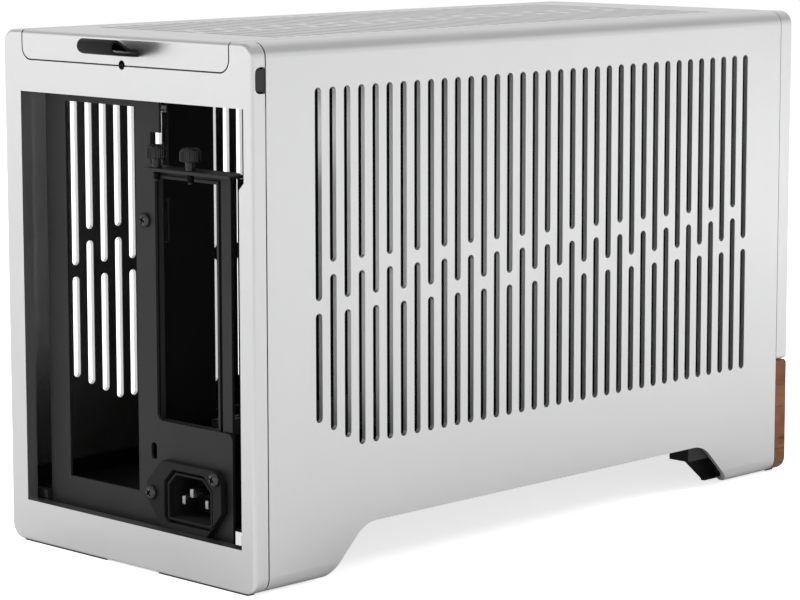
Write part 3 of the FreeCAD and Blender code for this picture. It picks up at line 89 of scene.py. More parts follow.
class Bench:
    """Places and joins the nodes of one tree."""

    def __init__(self, tree):
        self.tree = tree

    def put(self, kind, **values):
        made = self.tree.nodes.new(kind)
        for key, value in values.items():
            setattr(made, key, value)
        return made

    def feed(self, socket, value):
        if isinstance(value, bpy.types.NodeSocket):
            self.tree.links.new(value, socket)
        elif value is not None:
            socket.default_value = value

    def sum(self, operation, a, b=None):
        made = self.put("ShaderNodeMath", operation=operation)
        for socket, value in zip(made.inputs, (a, b)):
            self.feed(socket, value)
        return made.outputs[0]

    def product(self, first, *others):
        for other in others:
            first = self.sum("MULTIPLY", first, other)
        return first

    def weigh(self, first, second):
        """Sum of two (value, weight) pairs."""
        return self.sum("ADD", self.product(*first), self.product(*second))

    def ramp(self, value, low, high, to_low=0.0, to_high=1.0):
        made = self.put("ShaderNodeMapRange", clamp=True, interpolation_type="SMOOTHSTEP")
        for socket, each in zip(made.inputs, (value, low, high, to_low, to_high)):
            self.feed(socket, each)
        return made.outputs[0]

    def colours(self, value, stops):
        made = self.put("ShaderNodeValToRGB")
        band = made.color_ramp
        while len(band.elements) < len(stops):
            band.elements.new(0.5)
        for element, (place, colour) in zip(band.elements, stops):
            element.position = place
            element.color = (*colour, 1.0)
        self.feed(made.inputs[0], value)
        return made.outputs[0]

    def blend(self, share, first, second):
        made = self.put("ShaderNodeMix", data_type="RGBA")
        self.feed(made.inputs["Factor"], share)
        for socket, each in zip((made.inputs[6], made.inputs[7]), (first, second)):
            self.feed(socket, (*each, 1.0) if isinstance(each, tuple) else each)
        return made.outputs[2]

    def spot(self, coordinate):
        """X, Y and Z of one of the texture coordinates."""
        made = self.put("ShaderNodeSeparateXYZ")
        self.feed(made.inputs[0], self.put("ShaderNodeTexCoord").outputs[coordinate])
        return tuple(made.outputs)

    def places(self, turn=(0, 0, 0), stretch=(1, 1, 1)):
        made = self.put("ShaderNodeMapping")
        self.feed(made.inputs["Vector"], self.put("ShaderNodeTexCoord").outputs["Object"])
        made.inputs["Rotation"].default_value = turn
        made.inputs["Scale"].default_value = stretch
        return made.outputs[0]

    def noise(self, where, fineness, detail=3.0, rough=0.55, warp=0.0):
        made = self.put("ShaderNodeTexNoise")
        self.feed(made.inputs["Vector"], where)
        self.feed(made.inputs["Scale"], fineness)
        made.inputs["Detail"].default_value = detail
        made.inputs["Roughness"].default_value = rough
        made.inputs["Distortion"].default_value = warp
        return made.outputs["Fac"]

    def use(self, group, **values):
        made = self.put("ShaderNodeGroup", node_tree=group)
        for key, value in values.items():
            self.feed(made.inputs[key.replace("_", " ").title()], value)
        return made.outputs


def new_group(name, inputs, outputs):
    """Node group with float inputs (name, value) and outputs (name, kind)."""
    tree = bpy.data.node_groups.new(name, "ShaderNodeTree")
    for label, value in inputs:
        socket = tree.interface.new_socket(label, in_out="INPUT", socket_type="NodeSocketFloat")
        socket.default_value = value
    for label, kind in outputs:
        tree.interface.new_socket(label, in_out="OUTPUT", socket_type=kind)
    bench = Bench(tree)
    return tree, bench, bench.put("NodeGroupInput").outputs, bench.put("NodeGroupOutput").inputs


VALUE = "NodeSocketFloat"
COLOUR = "NodeSocketColor"


def make_blast_group():
    """Bead-blasted skin: tiny dimples, a faint cloud in tone and in gloss."""
    inputs = (("Dimple", 2600.0), ("Cloud", 14.0))
    outputs = (("Tone", VALUE), ("Gloss", VALUE), ("Height", VALUE))
    tree, bench, given, result = new_group("blasted_skin", inputs, outputs)
    where = bench.places()
    fine = bench.noise(where, given["Dimple"], detail=2.0, rough=0.6)
    wide = bench.noise(where, given["Cloud"], detail=4.0, rough=0.5)
    mixed = bench.weigh((fine, 0.35), (wide, 0.65))
    bench.feed(result["Tone"], bench.ramp(mixed, 0.3, 0.7))
    bench.feed(result["Gloss"], bench.ramp(wide, 0.25, 0.75))
    bench.feed(result["Height"], fine)
    return tree


def make_seam_group():
    """Mask of painted shade in the narrow seam round the lid's tongue, on faces set back from the rear."""
    inputs = (
        ("Half Width", 64.5 * MM),
        ("Foot", 205.2 * MM),
        ("Fold", 211.0 * MM),
        ("Back", 160.0 * MM),
        ("Face", 164.35 * MM),
    )
    tree, bench, given, result = new_group("seam_shade", inputs, (("Mask", VALUE),))
    x, y, z = bench.spot("Object")
    facing_x = bench.spot("Normal")[0]
    across = bench.sum("LESS_THAN", bench.sum("ABSOLUTE", x), given["Half Width"])
    above = bench.sum("GREATER_THAN", z, given["Foot"])
    under_fold = bench.sum("LESS_THAN", z, given["Fold"])
    sideways = bench.sum("GREATER_THAN", bench.sum("ABSOLUTE", facing_x), 0.5)
    set_back = bench.sum("LESS_THAN", y, given["Face"])
    at_rear = bench.sum("GREATER_THAN", y, given["Back"])
    shaded = bench.sum("MAXIMUM", under_fold, sideways)
    bench.feed(result["Mask"], bench.product(across, above, set_back, at_rear, shaded))
    return tree


def make_peel_group():
    """Sprayed coat: orange peel with a finer tooth on it."""
    inputs = (("Peel", 700.0), ("Tooth", 3600.0), ("Drift", 22.0))
    outputs = (("Tone", VALUE), ("Gloss", VALUE), ("Height", VALUE))
    tree, bench, given, result = new_group("sprayed_coat", inputs, outputs)
    where = bench.places()
    peel = bench.noise(where, given["Peel"], detail=2.0, rough=0.5)
    tooth = bench.noise(where, given["Tooth"], detail=2.0, rough=0.6)
    drift = bench.noise(where, given["Drift"], detail=3.0, rough=0.5)
    bench.feed(result["Tone"], bench.ramp(drift, 0.3, 0.7))
    bench.feed(result["Gloss"], bench.ramp(tooth, 0.3, 0.7))
    bench.feed(result["Height"], bench.weigh((peel, 0.65), (tooth, 0.35)))
    return tree


def make_rings_group():
    """Marks of a lathe: fine rings about an axis along Y through a centre."""
    inputs = (("Centre X", 0.0), ("Centre Z", 0.0), ("Pitch", 9000.0), ("Grit", 1800.0))
    outputs = (("Tone", VALUE), ("Height", VALUE))
    tree, bench, given, result = new_group("lathe_rings", inputs, outputs)
    x, _, z = bench.spot("Object")
    from_x = bench.sum("SUBTRACT", x, given["Centre X"])
    from_z = bench.sum("SUBTRACT", z, given["Centre Z"])
    radius = bench.sum("SQRT", bench.weigh((from_x, from_x), (from_z, from_z)))
    ring = bench.ramp(bench.sum("SINE", bench.product(radius, given["Pitch"])), -1.0, 1.0)
    grit = bench.noise(bench.places(), given["Grit"], detail=2.0, rough=0.6)
    bench.feed(result["Height"], ring)
    bench.feed(result["Tone"], bench.product(ring, grit))
    return tree


PORE_DARK = (0.05, 0.022, 0.011)
STREAK_DARK = (0.11, 0.05, 0.025)
TIMBER_TONES = (
    (0.30, (0.090, 0.032, 0.012)),
    (0.48, (0.192, 0.074, 0.028)),
    (0.62, (0.268, 0.108, 0.042)),
    (0.80, (0.340, 0.150, 0.062)),
)


def make_grain_group():
    """Open-pored timber whose fibres run along X."""
    inputs = (("Ring", 95.0), ("Sway", 26.0), ("Pore", 520.0), ("Streak", 1196.0))
    outputs = (("Colour", COLOUR), ("Pores", VALUE), ("Height", VALUE))
    tree, bench, given, result = new_group("timber_grain", inputs, outputs)
    along = bench.places(stretch=(0.06, 0.22, 1.0))
    sway = bench.noise(along, given["Sway"], detail=3.0, rough=0.55)
    bands = bench.noise(along, given["Ring"], detail=4.0, rough=0.6, warp=0.6)
    tone = bench.colours(bench.weigh((bands, 0.7), (sway, 0.45)), TIMBER_TONES)
    fibres = bench.places(stretch=(0.035, 0.12, 1.0))
    pore = bench.ramp(bench.noise(fibres, given["Pore"], detail=2.0, rough=0.5), 0.60, 0.72)
    streak = bench.ramp(bench.noise(fibres, given["Streak"], detail=2.0, rough=0.6), 0.35, 0.7)
    pored = bench.blend(bench.product(pore, 0.7), tone, PORE_DARK)
    bench.feed(result["Colour"], bench.blend(bench.product(streak, 0.18), pored, STREAK_DARK))
    bench.feed(result["Pores"], pore)
    bench.feed(result["Height"], bench.sum("SUBTRACT", bench.product(streak, 0.25), pore))
    return tree


BLAST = make_blast_group()
SEAM = make_seam_group()
PEEL = make_peel_group()
RINGS = make_rings_group()
GRAIN = make_grain_group()


# Finishes

def new_finish(name):
    finish = bpy.data.materials.new(name)
    finish.use_nodes = True
    bench = Bench(finish.node_tree)
    shader = finish.node_tree.nodes["Principled BSDF"]
    return finish, bench, shader.inputs


def emboss(bench, skin, height, depth, strength=1.0):
    """Bump from a height; depth in millimetres."""
    bump = bench.put("ShaderNodeBump")
    bump.inputs["Strength"].default_value = strength
    bump.inputs["Distance"].default_value = depth * MM
    bench.feed(bump.inputs["Height"], height)
    bench.feed(skin["Normal"], bump.outputs[0])


SHELL_TONES = ((0.715, 0.716, 0.718), (0.750, 0.751, 0.753))
SHELL_ROUGH = (0.29, 0.34)
SLOT_WALL_ROUGH = 0.46
# painted shade for the seam round the lid's tongue
PAINTED_SEAM_SHADE = (0.05, 0.05, 0.05)
# painted shade for the walnut's back, inside the case
PAINTED_BACK_SHADE = (0.004, 0.004, 0.004)


def slot_wall_mask(bench):
    """Walls of the slots: faces across the case between the rear frame and the front panel."""
    facing_y = bench.sum("ABSOLUTE", bench.spot("Normal")[1])
    from_middle = bench.sum("ABSOLUTE", bench.spot("Object")[1])
    across = bench.ramp(facing_y, 0.3, 0.6)
    within = bench.ramp(from_middle, (SLOT_REACH - 1) * MM, SLOT_REACH * MM, 1.0, 0.0)
    return bench.product(across, within)


def make_anodised():
    """Clear anodised aluminium, bead-blasted first; the cut walls of the slots are duller, and painted shade
    darkens the seam round the lid's tongue.
    """
    finish, bench, skin = new_finish("anodised_shell")
    blast = bench.use(BLAST)
    skin_tone = bench.blend(blast["Tone"], *SHELL_TONES)
    # the seam mask blends in a dark tone: painted shade in the gap round the lid's tongue
    bench.feed(skin["Base Color"], bench.blend(bench.use(SEAM)["Mask"], skin_tone, PAINTED_SEAM_SHADE))
    skin["Metallic"].default_value = 1.0
    rough = bench.ramp(blast["Gloss"], 0.0, 1.0, *SHELL_ROUGH)
    bench.feed(skin["Roughness"], bench.ramp(slot_wall_mask(bench), 0.0, 1.0, rough, SLOT_WALL_ROUGH))
    emboss(bench, skin, blast["Height"], 0.01, 0.4)
    return finish


def make_coat(name, dark, light, rough, relief, peel=700.0, tooth=3600.0, shine=0.4):
    """Dark sprayed or moulded skin between two tones and two roughnesses."""
    finish, bench, skin = new_finish(name)
    skin["Specular IOR Level"].default_value = shine
    coat = bench.use(PEEL, peel=peel, tooth=tooth)
    bench.feed(skin["Base Color"], bench.blend(coat["Tone"], dark, light))
    bench.feed(skin["Roughness"], bench.ramp(coat["Gloss"], 0.0, 1.0, *rough))
    emboss(bench, skin, coat["Height"], relief)
    return finish


def make_turned(name, dark, light, rough, centre=(0, 0), pitch=9000.0):
    """Turned bare metal with rings about a centre in X and Z (millimetres)."""
    finish, bench, skin = new_finish(name)
    rings = bench.use(RINGS, centre_x=centre[0] * MM, centre_z=centre[1] * MM, pitch=pitch)
    blast = bench.use(BLAST, dimple=3200.0, cloud=120.0)
    tone = bench.weigh((rings["Tone"], 0.5), (blast["Tone"], 0.5))
    bench.feed(skin["Base Color"], bench.blend(tone, dark, light))
    skin["Metallic"].default_value = 1.0
    bench.feed(skin["Roughness"], bench.ramp(blast["Gloss"], 0.0, 1.0, *rough))
    emboss(bench, skin, rings["Height"], 0.01, 0.5)
    return finish


def make_walnut():
    """Oiled walnut; its back, turned into the case, is painted near-black as painted shade."""
    finish, bench, skin = new_finish("oiled_walnut")
    grain = bench.use(GRAIN)
    # faces turned to the rear, into the case, get painted shade in place of the grain
    back_shade = bench.ramp(bench.spot("Normal")[1], 0.5, 0.8)
    skin["Specular IOR Level"].default_value = 0.22
    bench.feed(skin["Base Color"], bench.blend(back_shade, grain["Colour"], PAINTED_BACK_SHADE))
    bench.feed(skin["Roughness"], bench.ramp(grain["Pores"], 0.0, 1.0, 0.46, 0.72))
    emboss(bench, skin, grain["Height"], 0.06, 0.7)
    return finish


def make_board():
    """Dark solder mask with copper tracks just under it."""
    finish, bench, skin = new_finish("solder_mask")
    tracks = bench.put("ShaderNodeTexBrick", offset=0.37)
    bench.feed(tracks.inputs["Vector"], bench.places(turn=(math.pi / 2, 0, 0)))
    tracks.inputs["Scale"].default_value = 240.0
    tracks.inputs["Mortar Size"].default_value = 0.06
    cloud = bench.ramp(bench.noise(bench.places(), 70.0), 0.3, 0.7)
    laid = bench.product(tracks.outputs["Fac"], cloud)
    bench.feed(skin["Base Color"], bench.blend(laid, (0.008, 0.022, 0.014), (0.025, 0.060, 0.036)))
    bench.feed(skin["Roughness"], bench.ramp(cloud, 0.0, 1.0, 0.30, 0.42))
    emboss(bench, skin, laid, 0.03, 0.6)
    return finish


FINISHES = {
    "anodised": make_anodised(),
    "black_steel": make_coat(
        "black_powder_coat", (0.013, 0.013, 0.014), (0.018, 0.018, 0.019),
        rough=(0.46, 0.56), relief=0.04, shine=0.36,
    ),
    # a darker copy of the black powder coat: painted shade for the sheets inside the case
    "inner_steel": make_coat(
        "inner_black_coat", (0.003, 0.003, 0.003), (0.005, 0.005, 0.005),
        rough=(0.55, 0.66), relief=0.04, shine=0.1,
    ),
    "walnut": make_walnut(),
    "strap": make_coat(
        "strap_rubber", (0.006, 0.006, 0.006), (0.009, 0.009, 0.009),
        rough=(0.50, 0.62), relief=0.03, peel=1400, tooth=5200, shine=0.2,
    ),
    "pads": make_coat(
        "pad_rubber", (0.020, 0.020, 0.021), (0.034, 0.034, 0.035),
        rough=(0.72, 0.86), relief=0.06, peel=900, tooth=2800,
    ),
    "dark_screw": make_coat(
        "black_oxide", (0.007, 0.007, 0.008), (0.013, 0.013, 0.014),
        rough=(0.18, 0.26), relief=0.01, peel=1600, tooth=6000, shine=0.8,
    ),
    "knurled_screw": make_coat(
        "blackened_knurling", (0.006, 0.006, 0.007), (0.011, 0.011, 0.012),
        rough=(0.20, 0.28), relief=0.01, peel=1600, tooth=6000, shine=0.45,
    ),
    "steel_pin": make_turned(
        "bright_steel", (0.52, 0.52, 0.53), (0.66, 0.66, 0.67), rough=(0.22, 0.32),
    ),
    "inlet_plastic": make_coat(
        "inlet_moulding", (0.010, 0.010, 0.010), (0.015, 0.015, 0.015),
        rough=(0.52, 0.62), relief=0.03, peel=1100, tooth=4200, shine=0.18,
    ),
    "contact": make_turned(
        "tinned_blade", (0.34, 0.335, 0.325), (0.46, 0.455, 0.44), rough=(0.24, 0.34),
    ),
    "gilt": make_turned(
        "gilt_contact", (0.60, 0.43, 0.17), (0.76, 0.58, 0.27), rough=(0.22, 0.32),
    ),
    "socket": make_turned(
        "stamped_steel", (0.46, 0.46, 0.47), (0.60, 0.60, 0.61), rough=(0.28, 0.38),
    ),
    "board": make_board(),
    "black_plastic": make_coat(
        "black_moulding", (0.022, 0.022, 0.023), (0.032, 0.032, 0.033),
        rough=(0.48, 0.58), relief=0.03, peel=1000, tooth=4000,
    ),
    "button": make_turned(
        "button_metal", (0.70, 0.70, 0.71), (0.80, 0.80, 0.81),
        rough=(0.30, 0.40), centre=(BUTTON_PLACE[0], BUTTON_PLACE[2]), pitch=16000.0,
    ),
}

SHADED_INNER_SHEETS = (
    "spine_wall",
    "base_floor",
    "front_bulkhead",
    "left_top_rail",
    "right_top_rail",
    "psu_bracket",
    "riser_bracket",
    "side_post",
)

# sheets inside the case take the darker copy of the black coat, as painted shade
for subpart in frame["record"]["subparts"]:
    carried = NODES[subpart["node"]]
    inner = subpart["node"] in SHADED_INNER_SHEETS
    carried.data.materials.clear()
    carried.data.materials.append(FINISHES["inner_steel" if inner else subpart["material_slot"]])


# Mesh shop

def show(name, data):
    piece = bpy.data.objects.new(name, data)
    bpy.context.scene.collection.objects.link(piece)
    return piece


def scrap(piece):
    data = piece.data
    bpy.data.objects.remove(piece)
    (bpy.data.curves if isinstance(data, bpy.types.Curve) else bpy.data.meshes).remove(data)


def bake(piece):
    """Plain mesh of a piece with its modifiers worked in; the piece itself goes."""
    bpy.context.view_layer.update()
    seen = piece.evaluated_get(bpy.context.evaluated_depsgraph_get())
    mesh = bpy.data.meshes.new_from_object(seen)
    mesh.name = piece.name
    scrap(piece)
    return mesh


def to_mesh(name, bm):
    mesh = bpy.data.meshes.new(name)
    bm.to_mesh(mesh)
    bm.free()
    return mesh


def hand_over(name, mesh, finishes, body, slot, *stands_for, crease=32.0):
    """Finished piece: smooth between creases, dressed, riding on its body in place of its nodes."""
    mesh.materials.clear()
    for finish in finishes:
        mesh.materials.append(FINISHES[finish])
    mesh.polygons.foreach_set("use_smooth", [True] * len(mesh.polygons))
    mesh.set_sharp_from_angle(angle=math.radians(crease))
    piece = show(name, mesh)
    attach(piece, body)
    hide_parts(*stands_for)
    return piece


def join(name, parts):
    """One mesh from (mesh, finish number) pairs; the parts go."""
    whole = bmesh.new()
    for mesh, number in parts:
        before = len(whole.faces)
        whole.from_mesh(mesh)
        whole.faces.ensure_lookup_table()
        for face in whole.faces[before:]:
            face.material_index = number
        bpy.data.meshes.remove(mesh)
    return to_mesh(name, whole)


def turn(name, profile, segments):
    """Solid turned about Z from (radius, height) pairs in millimetres, from axis to axis."""
    bm = bmesh.new()
    rings = []
    for radius, height in profile:
        count = segments if radius > 0 else 1
        ring = []
        for step in range(count):
            angle = 2 * math.pi * step / segments
            place = (radius * math.cos(angle), radius * math.sin(angle), height)
            ring.append(bm.verts.new(Vector(place) * MM))
        rings.append(ring)
    for low, high in zip(rings, rings[1:]):
        for step in range(segments):
            after = (step + 1) % segments
            corners = []
            for ring, index in ((low, step), (low, after), (high, after), (high, step)):
                vert = ring[index % len(ring)]
                if vert not in corners:
                    corners.append(vert)
            bm.faces.new(corners)
    bmesh.ops.recalc_face_normals(bm, faces=bm.faces)
    return to_mesh(name, bm)


def rounded(corners, radius, steps=5):
    """Closed outline with every corner rounded off."""
    points = []
    count = len(corners)
    for index in range(count):
        here = Vector(corners[index])
        back = Vector(corners[index - 1]) - here
        on = Vector(corners[(index + 1) % count]) - here
        reach = radius / math.tan(back.angle(on) / 2)
        reach = min(reach, back.length * 0.45, on.length * 0.45)
        start = here + back.normalized() * reach
        end = here + on.normalized() * reach
        for step in range(steps + 1):
            t = step / steps
            points.append(tuple(start * (1 - t) ** 2 + here * (2 * t * (1 - t)) + end * t * t))
    return points


def stamp(name, outlines, low, high, ease):
    """Flat piece between two depths along Y, from outlines in X and Z (the edge, then holes)."""
    curve = bpy.data.curves.new(name, "CURVE")
    curve.dimensions = "2D"
    curve.fill_mode = "BOTH"
    curve.extrude = ((high - low) / 2 - ease) * MM
    curve.bevel_depth = ease * MM
    curve.offset = -ease * MM
    curve.bevel_resolution = 1
    for number, outline in enumerate(outlines):
        area = sum(a[0] * b[1] - b[0] * a[1] for a, b in zip(outline, outline[1:] + outline[:1]))
        if (area > 0) == (number > 0):
            outline = outline[::-1]
        spline = curve.splines.new("POLY")
        spline.points.add(len(outline) - 1)
        for point, (x, z) in zip(spline.points, outline):
            point.co = (x * MM, z * MM, 0, 1)
        spline.use_cyclic_u = True
    mesh = bake(show(name, curve))
    middle = Matrix.Translation((0, (low + high) / 2 * MM, 0))
    mesh.transform(middle @ Matrix.Rotation(math.pi / 2, 4, "X"))
    return mesh


def bar(x, y, z, ease, tip=0.0):
    """Eased block between limits in millimetres; tip rounds off the end at high Y further."""
    bm = bmesh.new()
    bmesh.ops.create_cube(bm, size=1.0)
    size = Vector((x[1] - x[0], y[1] - y[0], z[1] - z[0])) * MM
    middle = Vector((x[0] + x[1], y[0] + y[1], z[0] + z[1])) * MM / 2
    for vert in bm.verts:
        vert.co = Vector(a * b for a, b in zip(vert.co, size)) + middle
    if tip > 0:
        far = [e for e in bm.edges if all(v.co.y > middle.y for v in e.verts)]
        bmesh.ops.bevel(bm, geom=far, offset=tip * MM, segments=3, affect="EDGES", profile=0.5)
    sharp = [e for e in bm.edges if len(e.link_faces) == 2 and e.calc_face_angle() > math.radians(40)]
    bmesh.ops.bevel(bm, geom=sharp, offset=ease * MM, segments=2, affect="EDGES", profile=0.5)
    return to_mesh("bar", bm)


# Node trees for what repeats

def new_shop_tree(name, inputs):
    tree = bpy.data.node_groups.new(name, "GeometryNodeTree")
    for label, kind in (("Geometry", "Geometry"), *inputs):
        tree.interface.new_socket(label, in_out="INPUT", socket_type="NodeSocket" + kind)
    tree.interface.new_socket("Geometry", in_out="OUTPUT", socket_type="NodeSocketGeometry")
    bench = Bench(tree)
    return tree, bench, bench.put("NodeGroupInput").outputs, bench.put("NodeGroupOutput").inputs


def dress(bench, geometry, finish, result):
    """Last steps of a tree: real meshes in their finish."""
    real = bench.put("GeometryNodeRealizeInstances")
    bench.feed(real.inputs[0], geometry)
    dressed = bench.put("GeometryNodeSetMaterial")
    bench.feed(dressed.inputs["Geometry"], real.outputs[0])
    bench.feed(dressed.inputs["Material"], finish)
    bench.feed(result[0], dressed.outputs[0])


def run_tree(piece, tree, **values):
    """Sets a tree's named inputs on a piece and bakes the result."""
    modifier = piece.modifiers.new(tree.name, "NODES")
    modifier.node_group = tree
    for item in tree.interface.items_tree:
        key = item.name.lower().replace(" ", "_")
        if item.in_out == "INPUT" and key in values:
            modifier[item.identifier] = values[key]
    return bake(piece)


def make_knurl_tree():
    """Ridges round a turned head."""
    inputs = (
        ("Ridges", "Int"),
        ("Reach", "Float"),
        ("Foot", "Float"),
        ("Height", "Float"),
        ("Ridge", "Float"),
        ("Finish", "Material"),
    )
    tree, bench, given, result = new_shop_tree("knurl_ridges", inputs)
    ring = bench.put("GeometryNodeMeshCircle")
    bench.feed(ring.inputs["Vertices"], given["Ridges"])
    bench.feed(ring.inputs["Radius"], given["Reach"])
    ridge = bench.put("GeometryNodeMeshCylinder")
    ridge.inputs["Vertices"].default_value = 6
    bench.feed(ridge.inputs["Radius"], given["Ridge"])
    bench.feed(ridge.inputs["Depth"], given["Height"])
    outward = bench.put("FunctionNodeAlignRotationToVector", axis="X", pivot_axis="Z")
    bench.feed(outward.inputs["Vector"], bench.put("GeometryNodeInputPosition").outputs[0])
    laid = bench.put("GeometryNodeInstanceOnPoints")
    bench.feed(laid.inputs["Points"], ring.outputs["Mesh"])
    bench.feed(laid.inputs["Instance"], ridge.outputs["Mesh"])
    bench.feed(laid.inputs["Rotation"], outward.outputs[0])
    lift = bench.put("ShaderNodeCombineXYZ")
    half = bench.product(given["Height"], 0.5)
    bench.feed(lift.inputs["Z"], bench.sum("ADD", given["Foot"], half))
    raised = bench.put("GeometryNodeTransform")
    bench.feed(raised.inputs["Geometry"], laid.outputs[0])
    bench.feed(raised.inputs["Translation"], lift.outputs[0])
    both = bench.put("GeometryNodeJoinGeometry")
    bench.feed(both.inputs[0], given["Geometry"])
    bench.feed(both.inputs[0], raised.outputs[0])
    dress(bench, both.outputs[0], given["Finish"], result)
    return tree


def make_seating_tree():
    """One screw on every point, each turned by chance about its own axis along Y."""
    inputs = (("Screw", "Object"), ("Turn Seed", "Int"), ("Finish", "Material"))
    tree, bench, given, result = new_shop_tree("seated_screws", inputs)
    screw = bench.put("GeometryNodeObjectInfo")
    bench.feed(screw.inputs["Object"], given["Screw"])
    chance = bench.put("FunctionNodeRandomValue", data_type="FLOAT")
    chance.inputs[2].default_value = 0.0
    chance.inputs[3].default_value = math.pi
    bench.feed(chance.inputs["Seed"], given["Turn Seed"])
    about = bench.put("ShaderNodeCombineXYZ")
    bench.feed(about.inputs["Y"], chance.outputs[1])
    laid = bench.put("GeometryNodeInstanceOnPoints")
    bench.feed(laid.inputs["Points"], given["Geometry"])
    bench.feed(laid.inputs["Instance"], screw.outputs["Geometry"])
    bench.feed(laid.inputs["Rotation"], about.outputs[0])
    dress(bench, laid.outputs[0], given["Finish"], result)
    return tree


KNURL = make_knurl_tree()
SEATING = make_seating_tree()


# Pieces

def make_thumbscrews():
    """Knurled head on a long neck, with a threaded end under the shelf."""
    thread = []
    for number in range(THREAD_TURNS):
        foot = THUMB_FOOT + THREAD_START + number * THREAD_PITCH
        thread += [(THREAD_ROOT, foot), (SHANK_RADIUS, foot + THREAD_RISE)]
    core = HEAD_RADIUS - KNURL_DEPTH
    shank = [(0, THUMB_FOOT), (1.05, THUMB_FOOT), *thread, (1.3, 164.4), (SHANK_RADIUS, 164.6)]
    neck = [
        (SHANK_RADIUS, THUMB_SEAT + 0.1), (NECK_RADIUS, THUMB_SEAT + 0.1),
        (NECK_RADIUS, HEAD_FOOT - 0.2), (2.3, HEAD_FOOT),
    ]
    head = [
        (core - 0.4, HEAD_FOOT), (core, HEAD_FOOT + 0.4), (core, THUMB_TOP - 1.35),
        (core - 0.25, THUMB_TOP - 0.85), (core - 0.75, THUMB_TOP - 0.3), (core - 1.2, THUMB_TOP - 0.05),
        (core - 1.6, THUMB_TOP), (core - 2.0, THUMB_TOP), (core - 2.3, THUMB_TOP - 0.25),
        (0, THUMB_TOP - 0.35),
    ]
    for letter, place in THUMB_PLACES.items():
        node = "slot_thumbscrew_" + letter
        mesh = run_tree(
            show("knurled_" + node, turn("thumbscrew_core", shank + neck + head, 56)),
            KNURL,
            ridges=KNURL_RIDGES,
            reach=core * MM,
            foot=(HEAD_FOOT + KNURL_INSET) * MM,
            height=KNURL_HEIGHT * MM,
            ridge=KNURL_DEPTH * MM,
            finish=FINISHES["knurled_screw"],
        )
        mesh.transform(Matrix.Translation((place * MM, THUMB_LINE * MM, 0)))
        hand_over("knurled_" + node, mesh, ["knurled_screw"], "screw_" + letter, "dark_screw", node)


CROSS_SCREW_PROFILE = [
    (0, -5), (1.2, -5), (1.5, -4.6), (1.5, -0.05), (2.85, 0), (3.0, 0.2), (3.0, 0.55), (2.9, 0.95),
    (2.62, 1.4), (2.15, 1.8), (1.5, 2.08), (0.8, 2.18), (0, 2.2),
]


def make_cross_screw():
    """Pan-head screw along Y with a cross recess; its seat is at the origin."""
    screw = show("cross_screw", turn("cross_screw", CROSS_SCREW_PROFILE, 40))
    arms = []
    for across, along in ((RECESS_WIDTH, RECESS_LENGTH), (RECESS_LENGTH, RECESS_WIDTH)):
        bm = bmesh.new()
        bmesh.ops.create_cube(bm, size=2.0)
        for vert in bm.verts:
            at_mouth = vert.co.z > 0
            narrow = 1.0 if at_mouth else RECESS_TAPER
            height = RECESS_MOUTH if at_mouth else RECESS_FLOOR
            vert.co = Vector((vert.co.x * across * narrow, vert.co.y * along * narrow, height)) * MM
        arms.append(show("recess_arm", to_mesh("recess_arm", bm)))
    for arm in arms:
        cut = screw.modifiers.new("recess", "BOOLEAN")
        cut.operation = "DIFFERENCE"
        cut.solver = "EXACT"
        cut.object = arm
    mesh = bake(screw)
    for arm in arms:
        scrap(arm)
    mesh.transform(Matrix.Rotation(-math.pi / 2, 4, "X"))
    return show("cross_screw", mesh)


def seat_screws():
    """Cross screws of the plate and the inlet, each set with its own seed for their turns."""
    screw = make_cross_screw()
    sets = (("plate_screw", PLATE_SCREW_SEATS, 3), ("inlet_screws", INLET_SCREW_SEATS, 8))
    for node, seats, seed in sets:
        name = "cross_" + node
        points = bpy.data.meshes.new(name)
        points.from_pydata([Vector(seat) * MM for seat in seats], [], [])
        seated = show(name, points)
        mesh = run_tree(seated, SEATING, screw=screw, turn_seed=seed, finish=FINISHES["dark_screw"])
        hand_over(name, mesh, ["dark_screw"], "chassis", "dark_screw", node)
    scrap(screw)


INLET_FLANGE = [
    (-14.2, 17.9), (-5.2, 28.9), (-5.2, 36.4), (-14.2, 45.9),
    (-45.8, 45.9), (-50.3, 41.4), (-50.3, 28.9), (-41.3, 17.9),
]


def socket_mouth(margin, foot_cut):
    """Mouth with its two upper corners cut off and its lower ones by a little."""
    left, right = MOUTH_LEFT - margin, MOUTH_RIGHT + margin
    low, high = MOUTH_LOW - margin, MOUTH_HIGH + margin
    corner = MOUTH_CORNER + margin * MOUTH_CORNER_GROWTH
    return [
        (left + foot_cut, low), (right - foot_cut, low), (right, low + foot_cut), (right, high - corner),
        (right - corner, high), (left + corner, high), (left, high - corner), (left, low + foot_cut),
    ]


